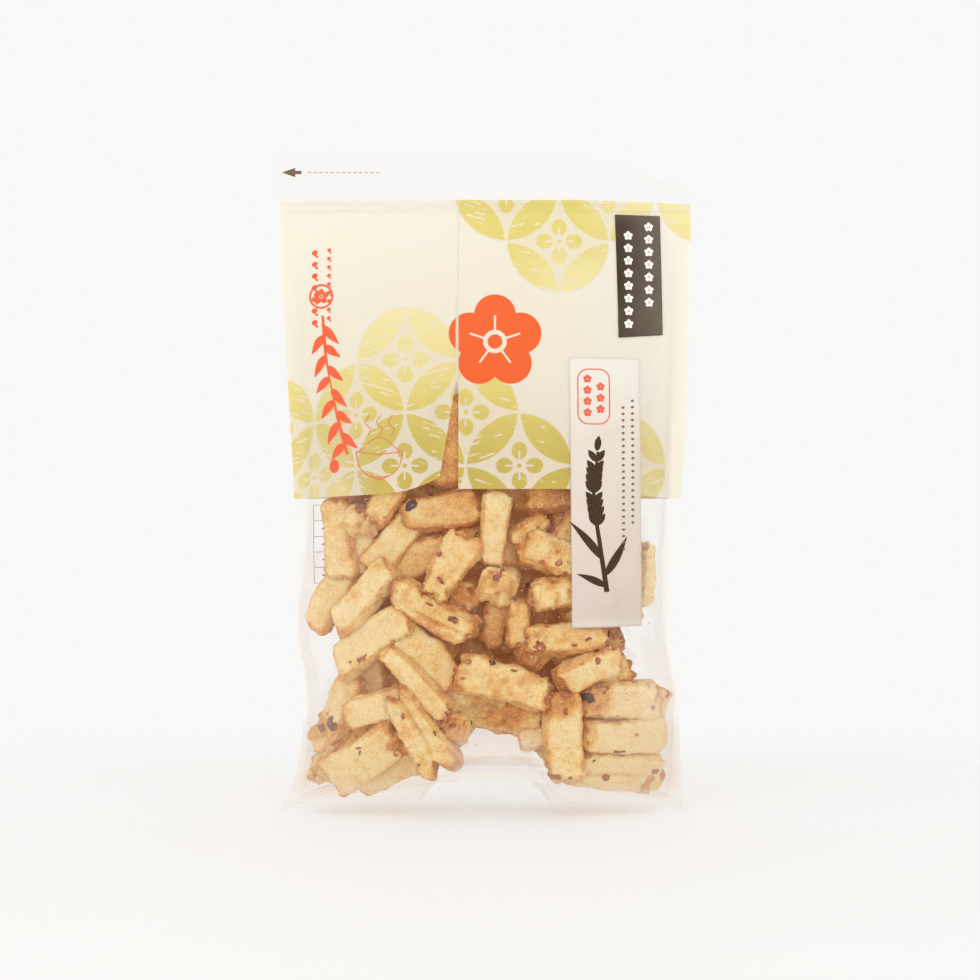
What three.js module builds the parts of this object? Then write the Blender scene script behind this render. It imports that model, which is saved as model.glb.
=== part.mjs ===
// A clear stand-up pouch of rice cracker sticks, sealed and standing on its bottom fold.
//
// Millimetres, +Z up. X runs across the pouch, -Y is its front, and the origin is the middle
// of its footprint on the table. The pouch is one closed solid out to its film. Its front and
// back bulge over the filling, thin sealed strips run up both sides, a zip and a flat header
// close the top, and the bottom seam arches up between two feet. Two paper stickers lie on
// the front.
import * as THREE from 'three';
import { mergeGeometries, mergeVertices } from 'three/addons/utils/BufferGeometryUtils.js';

// ---- Driving dimensions ----

const HEIGHT = 253;
const FILM_PAIR = 0.8; // thickness of two films where they lie flat together

// Distance from the middle to the left and right edge, at heights up the pouch: the edges
// draw in where the filling swells the bag, and the bottom corners spread out again
const LEFT_EDGE = [
  [0, 79.6], [15, 73], [47, 70.1], [72, 74.8], [92, 73.8], [121, 73.8], [157, 75.7],
  [217, 79.2], [253, 80],
];
const RIGHT_EDGE = [
  [0, 76.8], [15, 76.1], [47, 74.6], [74, 71.9], [92, 73.3], [121, 76], [157, 78.1],
  [217, 79.7], [253, 80],
];
// How far the front, and the back, stand out from the middle plane at those heights
const BULGE = [
  [0, 15], [15, 23.5], [47, 27], [75, 26.5], [121, 22.8], [157, 18.3], [190, 12.6],
  [217, 6.6], [229, 2.6], [237, 0], [253, 0],
];
// Width of the sealed strip up each side that shows from the front: low down the filling
// pushes the strip round until it stands almost on edge
const SIDE_SEAL = [[0, 6], [18, 3], [46, 1.6], [76, 2.4], [112, 4.6], [160, 6], [253, 6]];
// Shape of a level section: the bulge is flatter in the middle than an ellipse for a fullness
// above 2, and it turns in more sharply beside the seals for a shoulder below 1
const FULLNESS = [[0, 2.2], [18, 2.8], [46, 3.2], [76, 3], [121, 2.6], [180, 2.4], [253, 2.4]];
const SECTION_SHOULDER = 0.76;

// Soft dents where sticks press on the film
const DENT = { height: 0.45, acrossPitch: 29, upPitch: 33, bottom: 12, top: 168, fade: 14 };

// Bottom fold
const ARCH_RISE = 14.8; // the bottom seam's height in the middle
const ARCH_SHOULDER = 0.9;
const ARCH_FADE = 62; // rows of the sides are level again above this height
const FOOT_DEPTH = 0.58; // share of the depth that lies flat on the table
const FOOT_INNER = 12; // the arch between the feet ends between these two distances
const FOOT_FULL = 34;
const FOOT_OUTER = 62; // the feet end between these two distances, towards the corners
const FOOT_END = 74;
const FOLD_RISE = 5; // the fold's middle stands this much above the seam

// Zip and header
const ZIP_HEIGHTS = [232.8, 235.7];
const ZIP_RIB = { standOut: 0.7, halfTop: 0.4, halfFoot: 0.9 };
const CURL = { topX: 51.3, sideX: 78.4, sideZ: 241.7, radius: 7, mostTurn: 2 };

// Front stickers: middle across, lowest and highest edge, width, and lean of the long axis
const STICKER_GAP = 0.35;
const STICKER_THICK = 0.3;
const STICKERS = [
  { name: 'label_dark', middle: 59.6, low: 183.5, high: 230.6, width: 17.4, lean: -0.012 },
  { name: 'label_light', middle: 46.2, low: 72.6, high: 174.3, width: 27.2, lean: -0.006 },
];

// Fineness of the faceted surface
const COLUMNS = 24;
const BODY_ROWS = 30;
const BODY_TOP = 229;
const HEADER_ROWS = 6;
const FLOOR_ROWS = 8;

// ---- Small tools ----

const clamp01 = (value) => Math.min(1, Math.max(0, value));

function smoothStep(from, to, value) {
  const share = clamp01((value - from) / (to - from));
  return share * share * (3 - 2 * share);
}

// A smooth curve through [place, value] pairs
function throughKnots(knots, place) {
  const last = knots.length - 1;
  const at = THREE.MathUtils.clamp(place, knots[0][0], knots[last][0]);
  let i = 0;
  while (i < last - 1 && knots[i + 1][0] < at) i += 1;
  const slopeAt = (k) => {
    const before = knots[Math.max(0, k - 1)];
    const after = knots[Math.min(last, k + 1)];
    return (after[1] - before[1]) / (after[0] - before[0]);
  };
  const span = knots[i + 1][0] - knots[i][0];
  const t = (at - knots[i][0]) / span;
  const startWeight = 2 * t ** 3 - 3 * t ** 2 + 1;
  const startSlope = (t ** 3 - 2 * t ** 2 + t) * span;
  const endWeight = 3 * t ** 2 - 2 * t ** 3;
  const endSlope = (t ** 3 - t ** 2) * span;
  return startWeight * knots[i][1] + startSlope * slopeAt(i)
    + endWeight * knots[i + 1][1] + endSlope * slopeAt(i + 1);
}

// ---- The pouch's form ----

const leftEdge = (z) => -throughKnots(LEFT_EDGE, z);
const rightEdge = (z) => throughKnots(RIGHT_EDGE, z);
const bulgeLeft = (z) => leftEdge(z) + throughKnots(SIDE_SEAL, z);
const bulgeRight = (z) => rightEdge(z) - throughKnots(SIDE_SEAL, z);

// Place across the bulging part: -1 and 1 are the inner edges of the side seals
function acrossBulge(x, z) {
  const left = bulgeLeft(z);
  const right = bulgeRight(z);
  return THREE.MathUtils.clamp((2 * x - left - right) / (right - left), -1, 1);
}

function dentAt(x, z, side) {
  const filled = smoothStep(DENT.bottom, DENT.bottom + DENT.fade, z)
    * (1 - smoothStep(DENT.top - DENT.fade, DENT.top, z));
  const across = Math.sin((2 * Math.PI * x) / DENT.acrossPitch + side);
  const up = Math.sin((2 * Math.PI * z) / DENT.upPitch + x / DENT.acrossPitch);
  return DENT.height * filled * across * up;
}

function zipRibAt(z) {
  const offMiddle = Math.min(...ZIP_HEIGHTS.map((height) => Math.abs(z - height)));
  return ZIP_RIB.standOut * (1 - smoothStep(ZIP_RIB.halfTop, ZIP_RIB.halfFoot, offMiddle));
}

// Distance from the middle plane to the film; side is -1 for the front and 1 for the back
function standOut(x, z, side) {
  const u = acrossBulge(x, z);
  const section = (1 - Math.abs(u) ** throughKnots(FULLNESS, z)) ** SECTION_SHOULDER;
  const bulge = Math.max(0, throughKnots(BULGE, z)) * section;
  const rib = zipRibAt(z) * (Math.abs(u) < 1 ? 1 : 0);
  return FILM_PAIR / 2 + bulge + rib + dentAt(x, z, side) * (1 - u * u);
}

// The top right corner of the header rolls backwards over a slanting line
function curlCorner([x, y, z]) {
  const run = CURL.sideX - CURL.topX;
  const drop = HEIGHT - CURL.sideZ;
  const length = Math.hypot(run, drop);
  const outX = drop / length;
  const outZ = run / length;
  const beyond = (x - CURL.topX) * outX + (z - HEIGHT) * outZ + CURL.radius;
  if (beyond <= 0) return [x, y, z];
  const turn = Math.min(beyond / CURL.radius, CURL.mostTurn);
  const straight = beyond - CURL.radius * turn;
  const along = CURL.radius * Math.sin(turn) + straight * Math.cos(turn) - y * Math.sin(turn);
  const back = CURL.radius * (1 - Math.cos(turn)) + straight * Math.sin(turn) + y * Math.cos(turn);
  return [x + (along - beyond) * outX, back, z + (along - beyond) * outZ];
}

// Columns run from -1 at the left edge to 1 at the right; the outermost one is the side seal
function columnShare(column) {
  return (column - 1) / COLUMNS * 2 - 1;
}

function columnX(column, z) {
  if (column === 0) return leftEdge(z);
  if (column === COLUMNS + 2) return rightEdge(z);
  return bulgeLeft(z) + (bulgeRight(z) - bulgeLeft(z)) * (columnShare(column) + 1) / 2;
}

// Heights of the rows: even up the body, then at the ribs' edges, then even up the header
function rowHeights() {
  const heights = [];
  for (let i = 0; i <= BODY_ROWS; i += 1) heights.push((BODY_TOP * i) / BODY_ROWS);
  for (const middle of ZIP_HEIGHTS) {
    for (const off of [-ZIP_RIB.halfFoot, -ZIP_RIB.halfTop, ZIP_RIB.halfTop, ZIP_RIB.halfFoot]) {
      heights.push(middle + off);
    }
  }
  const headerFoot = heights[heights.length - 1];
  for (let i = 1; i <= HEADER_ROWS; i += 1) {
    heights.push(headerFoot + ((HEIGHT - headerFoot) * i) / HEADER_ROWS);
  }
  return heights;
}

const ROWS = rowHeights();

// The bottom seam rises from both corners to the middle
function seamHeight(column) {
  const share = THREE.MathUtils.clamp(columnShare(column), -1, 1);
  const edge = column === 0 || column === COLUMNS + 2;
  const reach = edge ? 1 : Math.abs(share) * 0.93;
  return ARCH_RISE * (1 - reach * reach) ** ARCH_SHOULDER;
}

// A point of the film at a column and row, on the front or back
function filmPoint(column, row, side) {
  const level = ROWS[row];
  const z = level + seamHeight(column) * (1 - smoothStep(0, ARCH_FADE, level));
  const x = columnX(column, z);
  const atEdge = column === 0 || column === COLUMNS + 2;
  const y = atEdge ? 0 : side * standOut(x, z, side);
  return curlCorner([x, y, z]);
}

// A point of the bottom fold; share runs from -1 at the front seam to 1 at the back seam
function floorPoint(column, share) {
  const [x, front, seamZ] = filmPoint(column, 0, -1);
  const back = filmPoint(column, 0, 1)[1];
  const y = front + ((back - front) * (share + 1)) / 2;
  const off = Math.abs(x);
  const foot = smoothStep(FOOT_INNER, FOOT_FULL, off) * (1 - smoothStep(FOOT_OUTER, FOOT_END, off));
  const flat = 1 - smoothStep(FOOT_DEPTH, 1, Math.abs(share));
  const fold = FOLD_RISE * (1 - smoothStep(0, FOOT_FULL, off)) * (1 - share * share);
  return [x, y, seamZ * (1 - foot * flat) + fold];
}

// ---- Surfaces ----

// A grid of points as two triangles a square, facing the side from which its columns run
// right when its rows run up
function sheet(columns, rows, pointAt) {
  const positions = [];
  for (let row = 0; row <= rows; row += 1) {
    for (let column = 0; column <= columns; column += 1) {
      positions.push(...pointAt(column, row));
    }
  }
  const index = [];
  const wide = columns + 1;
  for (let row = 0; row < rows; row += 1) {
    for (let column = 0; column < columns; column += 1) {
      const corner = row * wide + column;
      index.push(corner, corner + 1, corner + wide + 1);
      index.push(corner, corner + wide + 1, corner + wide);
    }
  }
  const geometry = new THREE.BufferGeometry();
  geometry.setAttribute('position', new THREE.Float32BufferAttribute(positions, 3));
  geometry.setIndex(index);
  return geometry;
}

// Joins sheets into one closed body, leaving out triangles that closed up to a line
function closedBody(sheets) {
  const joined = mergeVertices(mergeGeometries(sheets), 1e-4);
  const index = joined.getIndex().array;
  const kept = [];
  for (let i = 0; i < index.length; i += 3) {
    const [a, b, c] = [index[i], index[i + 1], index[i + 2]];
    if (a !== b && b !== c && c !== a) kept.push(a, b, c);
  }
  joined.setIndex(kept);
  joined.computeVertexNormals();
  return joined;
}

function pouchGeometry() {
  const across = COLUMNS + 2;
  const up = ROWS.length - 1;
  const front = sheet(across, up, (column, row) => filmPoint(column, row, -1));
  const back = sheet(across, up, (column, row) => filmPoint(across - column, row, 1));
  const top = sheet(across, 1, (column, row) => filmPoint(column, up, row * 2 - 1));
  const floor = sheet(across, FLOOR_ROWS, (column, row) => (
    floorPoint(column, 1 - (2 * row) / FLOOR_ROWS)));
  return closedBody([front, back, top, floor]);
}

// A sticker follows the front of the pouch at a small gap
function stickerGeometry({ middle, low, high, width, lean }) {
  const across = Math.round(width / 5);
  const up = Math.round((high - low) / 7);
  const pointAt = (column, row, lift) => {
    const z = low + ((high - low) * row) / up;
    const x = middle + width * (column / across - 0.5) + lean * (z - (low + high) / 2);
    return [x, -standOut(x, z, -1) - STICKER_GAP - lift, z];
  };
  const outer = (column, row) => pointAt(column, row, STICKER_THICK);
  const inner = (column, row) => pointAt(column, row, 0);
  return closedBody([
    sheet(across, up, outer),
    sheet(across, up, (column, row) => inner(across - column, row)),
    sheet(across, 1, (column, row) => (row ? inner : outer)(column, up)),
    sheet(across, 1, (column, row) => (row ? outer : inner)(column, 0)),
    sheet(1, up, (column, row) => (column ? outer : inner)(0, row)),
    sheet(1, up, (column, row) => (column ? inner : outer)(across, row)),
  ]);
}

// ---- Materials and scene graph ----

const filmMaterial = new THREE.MeshStandardMaterial({
  color: 0xdcc79a, roughness: 0.2, metalness: 0, transparent: true, opacity: 0.6,
});
const stickerMaterials = {
  label_dark: new THREE.MeshStandardMaterial({ color: 0x5a4d40, roughness: 0.35, metalness: 0 }),
  label_light: new THREE.MeshStandardMaterial({ color: 0xebdccb, roughness: 0.6, metalness: 0 }),
};

function namedMesh(name, geometry, material) {
  const mesh = new THREE.Mesh(geometry, material);
  mesh.name = name;
  return mesh;
}

const group = new THREE.Group();
group.add(namedMesh('pouch', pouchGeometry(), filmMaterial));
for (const sticker of STICKERS) {
  group.add(namedMesh(sticker.name, stickerGeometry(sticker), stickerMaterials[sticker.name]));
}

export default group;
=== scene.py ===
import functools
import itertools
import math

import bpy
import numpy as np
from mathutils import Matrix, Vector


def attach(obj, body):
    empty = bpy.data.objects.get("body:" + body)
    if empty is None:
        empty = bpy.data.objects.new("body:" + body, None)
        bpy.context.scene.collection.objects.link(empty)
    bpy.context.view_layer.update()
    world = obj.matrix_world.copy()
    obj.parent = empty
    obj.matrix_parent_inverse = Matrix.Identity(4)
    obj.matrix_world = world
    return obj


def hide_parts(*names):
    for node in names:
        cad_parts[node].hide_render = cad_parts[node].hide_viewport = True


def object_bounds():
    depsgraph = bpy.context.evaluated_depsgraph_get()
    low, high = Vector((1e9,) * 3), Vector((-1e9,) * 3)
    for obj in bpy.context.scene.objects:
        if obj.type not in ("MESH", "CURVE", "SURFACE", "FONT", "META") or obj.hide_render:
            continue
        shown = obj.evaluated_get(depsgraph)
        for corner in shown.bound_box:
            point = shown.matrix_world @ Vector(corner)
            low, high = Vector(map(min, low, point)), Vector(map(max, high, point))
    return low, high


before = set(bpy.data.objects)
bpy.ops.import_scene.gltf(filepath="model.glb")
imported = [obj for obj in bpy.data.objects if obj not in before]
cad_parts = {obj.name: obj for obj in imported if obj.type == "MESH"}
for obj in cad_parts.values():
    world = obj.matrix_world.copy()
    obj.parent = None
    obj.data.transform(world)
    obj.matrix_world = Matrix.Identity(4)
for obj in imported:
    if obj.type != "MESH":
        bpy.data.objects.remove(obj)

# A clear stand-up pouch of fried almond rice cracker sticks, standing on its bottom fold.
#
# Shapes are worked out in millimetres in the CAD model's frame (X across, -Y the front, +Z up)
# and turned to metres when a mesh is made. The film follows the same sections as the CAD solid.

CAD_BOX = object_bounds()
MM = 0.001

# ---- Driving dimensions of the pouch, as in the CAD model ----

HEIGHT = 253
LEFT_EDGE = [(0, 79.6), (15, 73), (47, 70.1), (72, 74.8), (92, 73.8), (121, 73.8), (157, 75.7),
             (217, 79.2), (253, 80)]
RIGHT_EDGE = [(0, 76.8), (15, 76.1), (47, 74.6), (74, 71.9), (92, 73.3), (121, 76), (157, 78.1),
              (217, 79.7), (253, 79.9)]
SIDE_SEAL = [(0, 6), (18, 3), (46, 1.6), (76, 2.4), (112, 4.6), (160, 6), (253, 6)]
BULGE = [(0, 15), (15, 23.5), (47, 27), (75, 26.5), (121, 22.8), (157, 18.3), (190, 12.6),
         (217, 6.6), (229, 2.6), (237, 0), (253, 0)]
FULLNESS = [(0, 2.2), (18, 2.8), (46, 3.2), (76, 3), (121, 2.6), (180, 2.4), (253, 2.4)]
SECTION_SHOULDER = 0.76
FILM_APART = 0.22  # from the middle plane to the film where both films lie flat
MOST_STAND_OUT = 27.7  # the film keeps inside the CAD model's box

ARCH_RISE = 14.8
ARCH_SHOULDER = 0.9
ARCH_REACH = 0.93
ARCH_FADE = 62
FOOT_DEPTH = 0.58
FOOT_INNER, FOOT_FULL = 12, 34
FOOT_OUTER, FOOT_END = 62, 74
FOLD_RISE = 5
FOOT_CLEAR = 0.25  # the film's underside stays this much above the table

ZIP_HEIGHTS = (232.8, 235.7)
ZIP_STAND_OUT = 0.6
ZIP_TOP, ZIP_FOOT = 0.4, 0.9
CURL_TOP_X, CURL_SIDE_X, CURL_SIDE_Z = 51.3, 78.4, 241.7
CURL_RADIUS, CURL_MOST_TURN = 7, 2

# ---- Colours, as they are seen (sRGB, 0 to 255) ----

CREAM = (244, 240, 224)
CREAM_LIT = (247, 243, 230)
CREAM_TOP = (249, 246, 235)
SLIT_CREAM = (250, 248, 243)
LEAF_GREEN = (214, 197, 86)
LEAF_LIT = (236, 222, 124)
# pale leaf colour for the painted light on the leaves
LEAF_PAINTED_LIGHT = (250, 240, 184)
STAR_PALE = (243, 235, 213)
CREST_ORANGE = (253, 106, 40)
MARK_RED, MARK_RED_LIT = (238, 86, 44), (236, 112, 74)
DRAWING_RED = (222, 120, 84)
ARROW_BROWN = (118, 92, 74)
DASH_GREY = (176, 168, 160)
RULE_GREY = (172, 162, 153)
BRUSH_BROWN, BRUSH_LIT = (60, 44, 30), (74, 56, 40)
STICKER_DARK = (62, 48, 34)
# painted sheen on the dark sticker's paper
STICKER_PAINTED_SHEEN = (112, 101, 88)
# the pale sticker's paper, lit at the top and shaded lower down by painted light
STICKER_TOP = (229, 225, 213)
STICKER_MIDDLE = (226, 214, 202)
STICKER_LOW = (210, 195, 182)
STICKER_RED = (228, 92, 64)
STICKER_CREAM = (247, 240, 226)
STICKER_GREY = (120, 108, 98)
CRACKER_PALE = (246, 225, 172)
CRACKER_GOLD = (240, 204, 134)
CRACKER_BROWN = (222, 160, 86)
CRACKER_DEEP = (178, 104, 48)
CRUMB_PALE = (252, 240, 204)
CRUMB_BROWN = (204, 150, 90)
FRECKLE_BROWN = (160, 96, 58)
GLOW_WARM = (255, 160, 78)
NUT_SKIN = (170, 92, 56)
NUT_TAN = (206, 142, 88)
NUT_BURNT = (74, 52, 50)
NUT_STREAK = (132, 70, 42)
MIST_HIGH = (250, 250, 249)
MIST_WARM_BOUNCE = (255, 248, 238)
SHADED_MIST_LOW = (238, 222, 205)
FOLD_HIGHLIGHT_WHITE = (248, 248, 245)
TABLE_WHITE, TABLE_LIT = (247, 246, 244), (248, 247, 246)


def linear(colour):
    """A seen colour as the shader's linear values."""
    def channel(value):
        share = value / 255
        return share / 12.92 if share <= 0.04045 else ((share + 0.055) / 1.055) ** 2.4
    return tuple(channel(value) for value in colour) + (1.0,)


# ---- Small tools ----

def smooth_step(start, end, value):
    share = np.clip((value - start) / (end - start), 0, 1)
    return share * share * (3 - 2 * share)


def through_knots(knots, place):
    """A smooth curve through (place, value) pairs."""
    places, values = np.array(knots, float).T
    slopes = np.empty_like(values)
    slopes[1:-1] = (values[2:] - values[:-2]) / (places[2:] - places[:-2])
    slopes[0] = (values[1] - values[0]) / (places[1] - places[0])
    slopes[-1] = (values[-1] - values[-2]) / (places[-1] - places[-2])
    at = np.clip(place, places[0], places[-1])
    i = np.clip(np.searchsorted(places, at, side="right") - 1, 0, len(places) - 2)
    span = places[i + 1] - places[i]
    t = (at - places[i]) / span
    start = (2 * t**3 - 3 * t**2 + 1) * values[i] + (t**3 - 2 * t**2 + t) * span * slopes[i]
    end = (3 * t**2 - 2 * t**3) * values[i + 1] + (t**3 - t**2) * span * slopes[i + 1]
    return start + end


class Lumps:
    """Smooth random numbers from -1 to 1 through space, the same on every run."""

    def __init__(self, seed):
        rng = np.random.default_rng(seed)
        self.order = rng.permutation(256)
        self.values = rng.uniform(-1, 1, 256)

    def __call__(self, points, size):
        scaled = np.asarray(points, float) / size
        cell = np.floor(scaled).astype(int)
        share = scaled - cell
        share = share * share * (3 - 2 * share)
        total = np.zeros(scaled.shape[:-1])
        for corner in itertools.product((0, 1), repeat=3):
            place = self.order[(cell[..., 0] + corner[0]) & 255]
            place = self.order[(place + cell[..., 1] + corner[1]) & 255]
            place = self.order[(place + cell[..., 2] + corner[2]) & 255]
            weight = np.ones(scaled.shape[:-1])
            for axis in range(3):
                part = share[..., axis]
                weight = weight * (part if corner[axis] else 1 - part)
            total += weight * self.values[place]
        return total


def blur(field, times):
    """A grid smoothed with its neighbours, its border kept level."""
    for _ in range(times):
        padded = np.pad(field, 1, mode="edge")
        field = (4 * field + padded[:-2, 1:-1] + padded[2:, 1:-1]
                 + padded[1:-1, :-2] + padded[1:-1, 2:]) / 8
    return field


def blur_across(field, times):
    """A grid smoothed along its rows only."""
    for _ in range(times):
        padded = np.pad(field, ((0, 0), (1, 1)), mode="edge")
        field = (2 * field + padded[:, :-2] + padded[:, 2:]) / 4
    return field


def grid_faces(rows, columns, flip=False):
    """Squares between rows x columns points stored row after row."""
    corner = (np.arange(rows - 1)[:, None] * columns + np.arange(columns - 1)).ravel()
    faces = np.stack([corner, corner + 1, corner + columns + 1, corner + columns], 1)
    return faces[:, ::-1] if flip else faces


def add_object(name, data):
    thing = bpy.data.objects.new(name, data)
    bpy.context.scene.collection.objects.link(thing)
    return thing


def make_piece(name, points_mm, faces, material, values=None, node=None):
    """A mesh from points in millimetres, with named point values; it may stand for a CAD node."""
    mesh = bpy.data.meshes.new(name)
    mesh.from_pydata((np.asarray(points_mm) * MM).tolist(), [], [list(face) for face in faces])
    mesh.validate()
    mesh.update()
    mesh.polygons.foreach_set("use_smooth", [True] * len(mesh.polygons))
    for key, numbers in (values or {}).items():
        attribute = mesh.attributes.new(key, "FLOAT", "POINT")
        attribute.data.foreach_set("value", np.asarray(numbers, np.float32))
    mesh.materials.append(material)
    piece = add_object(name, mesh)
    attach(piece, "root")
    if node:
        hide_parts(node)
    return piece


# ---- The pouch's form ----

def left_edge(z):
    return -through_knots(LEFT_EDGE, z)


def right_edge(z):
    return through_knots(RIGHT_EDGE, z)


def bulge_left(z):
    return left_edge(z) + through_knots(SIDE_SEAL, z)


def bulge_right(z):
    return right_edge(z) - through_knots(SIDE_SEAL, z)


def across_bulge(x, z):
    """Place across the bulging part: -1 and 1 are the inner edges of the side seals."""
    left, right = bulge_left(z), bulge_right(z)
    return np.clip((2 * x - left - right) / (right - left), -1, 1)


def stand_out(x, z):
    """Distance from the middle plane to the film."""
    share = np.abs(across_bulge(x, z))
    section = (1 - share ** through_knots(FULLNESS, z)) ** SECTION_SHOULDER
    bulge = np.maximum(0, through_knots(BULGE, z)) * section
    off_zip = np.min([np.abs(z - height) for height in ZIP_HEIGHTS], axis=0)
    rib = ZIP_STAND_OUT * (1 - smooth_step(ZIP_TOP, ZIP_FOOT, off_zip)) * (share < 1)
    return FILM_APART + bulge + rib


def across_x(across, z):
    """x at a place across: -1 to 1 over the bulge, and on to -2 and 2 over the side seals."""
    left, right = bulge_left(z), bulge_right(z)
    middle = left + (right - left) * (np.clip(across, -1, 1) + 1) / 2
    left_part = np.minimum(across + 1, 0) * (left - left_edge(z))
    right_part = np.maximum(across - 1, 0) * (right_edge(z) - right)
    return middle + left_part + right_part


def seam_height(across):
    """The bottom seam rises from both corners to the middle."""
    off = np.abs(across)
    reach = np.where(off <= 1, ARCH_REACH * off, ARCH_REACH + (1 - ARCH_REACH) * (off - 1))
    return ARCH_RISE * np.maximum(0, 1 - reach * reach) ** ARCH_SHOULDER


def curl_corner(points):
    """Rolls the header's top right corner backwards over a slanting line."""
    run, drop = CURL_SIDE_X - CURL_TOP_X, HEIGHT - CURL_SIDE_Z
    out_x, out_z = np.array([drop, run]) / math.hypot(run, drop)
    x, y, z = points[..., 0], points[..., 1], points[..., 2]
    beyond = np.maximum(0, (x - CURL_TOP_X) * out_x + (z - HEIGHT) * out_z + CURL_RADIUS)
    turn = np.minimum(beyond / CURL_RADIUS, CURL_MOST_TURN)
    straight = beyond - CURL_RADIUS * turn
    along = CURL_RADIUS * np.sin(turn) + straight * np.cos(turn) - y * np.sin(turn)
    back = CURL_RADIUS * (1 - np.cos(turn)) + straight * np.sin(turn) + y * np.cos(turn)
    moved = np.stack([x + (along - beyond) * out_x, back, z + (along - beyond) * out_z], -1)
    return np.where((beyond > 0)[..., None], moved, points)


def floor_height(x, share):
    """Height of the bottom fold; share runs from -1 at the front seam to 1 at the back seam."""
    off = np.abs(x)
    foot = smooth_step(FOOT_INNER, FOOT_FULL, off) * (1 - smooth_step(FOOT_OUTER, FOOT_END, off))
    flat = 1 - smooth_step(FOOT_DEPTH, 1, np.abs(share))
    fold = FOLD_RISE * (1 - smooth_step(0, FOOT_FULL, off)) * (1 - share * share)
    seam = seam_height(across_bulge(x, 0.0))
    return np.maximum(FOOT_CLEAR, seam * (1 - foot * flat) + fold)


# ---- The film as two grids, front and back ----

SEAL_COLUMNS, BULGE_COLUMNS = 4, 151
BODY_ROWS, ZIP_ROWS, HEADER_ROWS = 186, 27, 15
ZIP_FROM, ZIP_TO = 229, 237  # closer rows here carry the zip's ridges
ACROSS = np.concatenate([
    np.linspace(-2, -1, SEAL_COLUMNS)[:-1],
    np.linspace(-1, 1, BULGE_COLUMNS),
    np.linspace(1, 2, SEAL_COLUMNS)[1:],
])
LEVELS = np.concatenate([
    np.linspace(0, ZIP_FROM, BODY_ROWS)[:-1],
    np.linspace(ZIP_FROM, ZIP_TO, ZIP_ROWS)[:-1],
    np.linspace(ZIP_TO, HEIGHT, HEADER_ROWS),
])
PRINT_FROM, PRINT_TO = 112, 238.5
PRINT_ROWS = (LEVELS > PRINT_FROM) & (LEVELS < PRINT_TO)  # rows that carry the printed layer

WAVE_HIGH, WAVE_LONG = 0.5, 30
CREASE_DEEP, CREASE_WIDE = 1.1, 9
HEADER_SWAY = 0.9  # the header is slightly wavy from left to right
LEAST_APART = 0.12  # each film stays at least this far from the middle plane


def film_relief(lumps, across, level, x, z):
    """Slow waves of a film under little pull, less the creases that run in from the side seals."""
    places = np.stack([x, z, np.zeros_like(x)], -1)
    body = (1 - smooth_step(224, 236, level)) * (1 - np.clip(np.abs(across), 0, 1) ** 4)
    waves = WAVE_HIGH * lumps(places * [1, 0.45, 1], WAVE_LONG) * body
    near_side = smooth_step(0.55, 0.93, np.abs(across)) * (np.abs(across) < 1.4)
    low = smooth_step(210, 130, level) * smooth_step(4, 16, level)
    slant = places * [0.35, 1, 1] + np.abs(places[..., :1]) * [0, 0.5, 0]
    creases = CREASE_DEEP * np.abs(lumps(slant, CREASE_WIDE)) * near_side * low
    return waves - creases


class FilmSide:
    """One of the two films: its standing-out y at any place, and its grid of points."""

    def __init__(self, sign, seed):
        self.sign = sign
        across, level = np.meshgrid(ACROSS, LEVELS)
        self.z = level + seam_height(across) * (1 - smooth_step(0, ARCH_FADE, level))
        self.x = across_x(across, self.z)
        self.relief = film_relief(Lumps(seed), across, level, self.x, self.z)
        self.middle = HEADER_SWAY * np.sin(self.x / 34 + 0.6) * smooth_step(228, 250, level)
        self.y = None

    def out(self):
        """Distance from the middle plane, with the edge of the side seals softened near the top."""
        base = stand_out(self.x, self.z)
        at_seal = (np.abs(ACROSS) >= 1)[None, :]
        base = np.where(at_seal, np.minimum(base, FILM_APART), base)
        sharp, soft = blur(base, 3), blur_across(base, 60)
        near_top = smooth_step(130, 180, self.z)
        section = sharp + (np.minimum(soft, sharp + 0.6) - sharp) * near_top
        return np.clip(section + self.relief, LEAST_APART, MOST_STAND_OUT)

    def fix(self):
        """Keeps the film as it now is, for the pieces that follow it."""
        self.y = self.sign * self.out() + self.middle

    def points(self, lift=0.0):
        """The grid's points, lifted off the film by so much, with the corner rolled back."""
        y = self.y + self.sign * lift
        return curl_corner(np.stack([self.x, y, self.z], -1))

    def y_at(self, x, z, lift=0.0):
        """The film's y at places above the arch, read off its grid."""
        across = across_bulge(x, z)
        column = np.interp(across, ACROSS, np.arange(len(ACROSS)))
        row = np.interp(z, LEVELS, np.arange(len(LEVELS)))
        i = np.clip(column.astype(int), 0, len(ACROSS) - 2)
        j = np.clip(row.astype(int), 0, len(LEVELS) - 2)
        s, t = column - i, row - j
        low = self.y[j, i] * (1 - s) + self.y[j, i + 1] * s
        high = self.y[j + 1, i] * (1 - s) + self.y[j + 1, i + 1] * s
        return low * (1 - t) + high * t + self.sign * lift


# ---- Rice cracker sticks: where they lie ----

LOOSE_COUNT = 66
LOOSE_SIZES = ((26, 34), (11, 14.5), (9, 11.5))  # least and most length, width, thickness
LOOSE_PLACES = ((-58, 58), (-6, 16), (14, 172))  # where their middles start, before they settle
LOOSE_WAY = (1, 0.35, 0.8)  # how much of their random directions is kept along each axis
LOOSE_KINDS, LOOSE_SHARES = ("smooth", "knobbly", "forked"), (0.55, 0.35, 0.1)
LOOSE_BROWNER = 0.1
GAP_COUNT = 26  # more sticks put where the front layer would show a hole
GAP_DEPTH = (-4, 8)
HOLE_SIDE, HOLE_LOW, HOLE_HIGH, HOLE_STEP = 60, 34, 150, 3.0  # where holes are looked for
HOLE_FILL = ((-7, 0), (0, 0), (7, 0), (0, -6))  # what a stick put in a hole is taken to cover
FIRST_SETTLE, SECOND_SETTLE = (200, 0.35), (40, 0.05)  # steps, and the drop at each
BALLS = 4  # a stick is packed as this many balls in a row
BALL_RADIUS = 5.8
FILM_CLEAR = 0.5
LAYER_STEP = 9.5
PRESS_OUT = 1.0  # how far a stick seen at the front may push the film out
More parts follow.
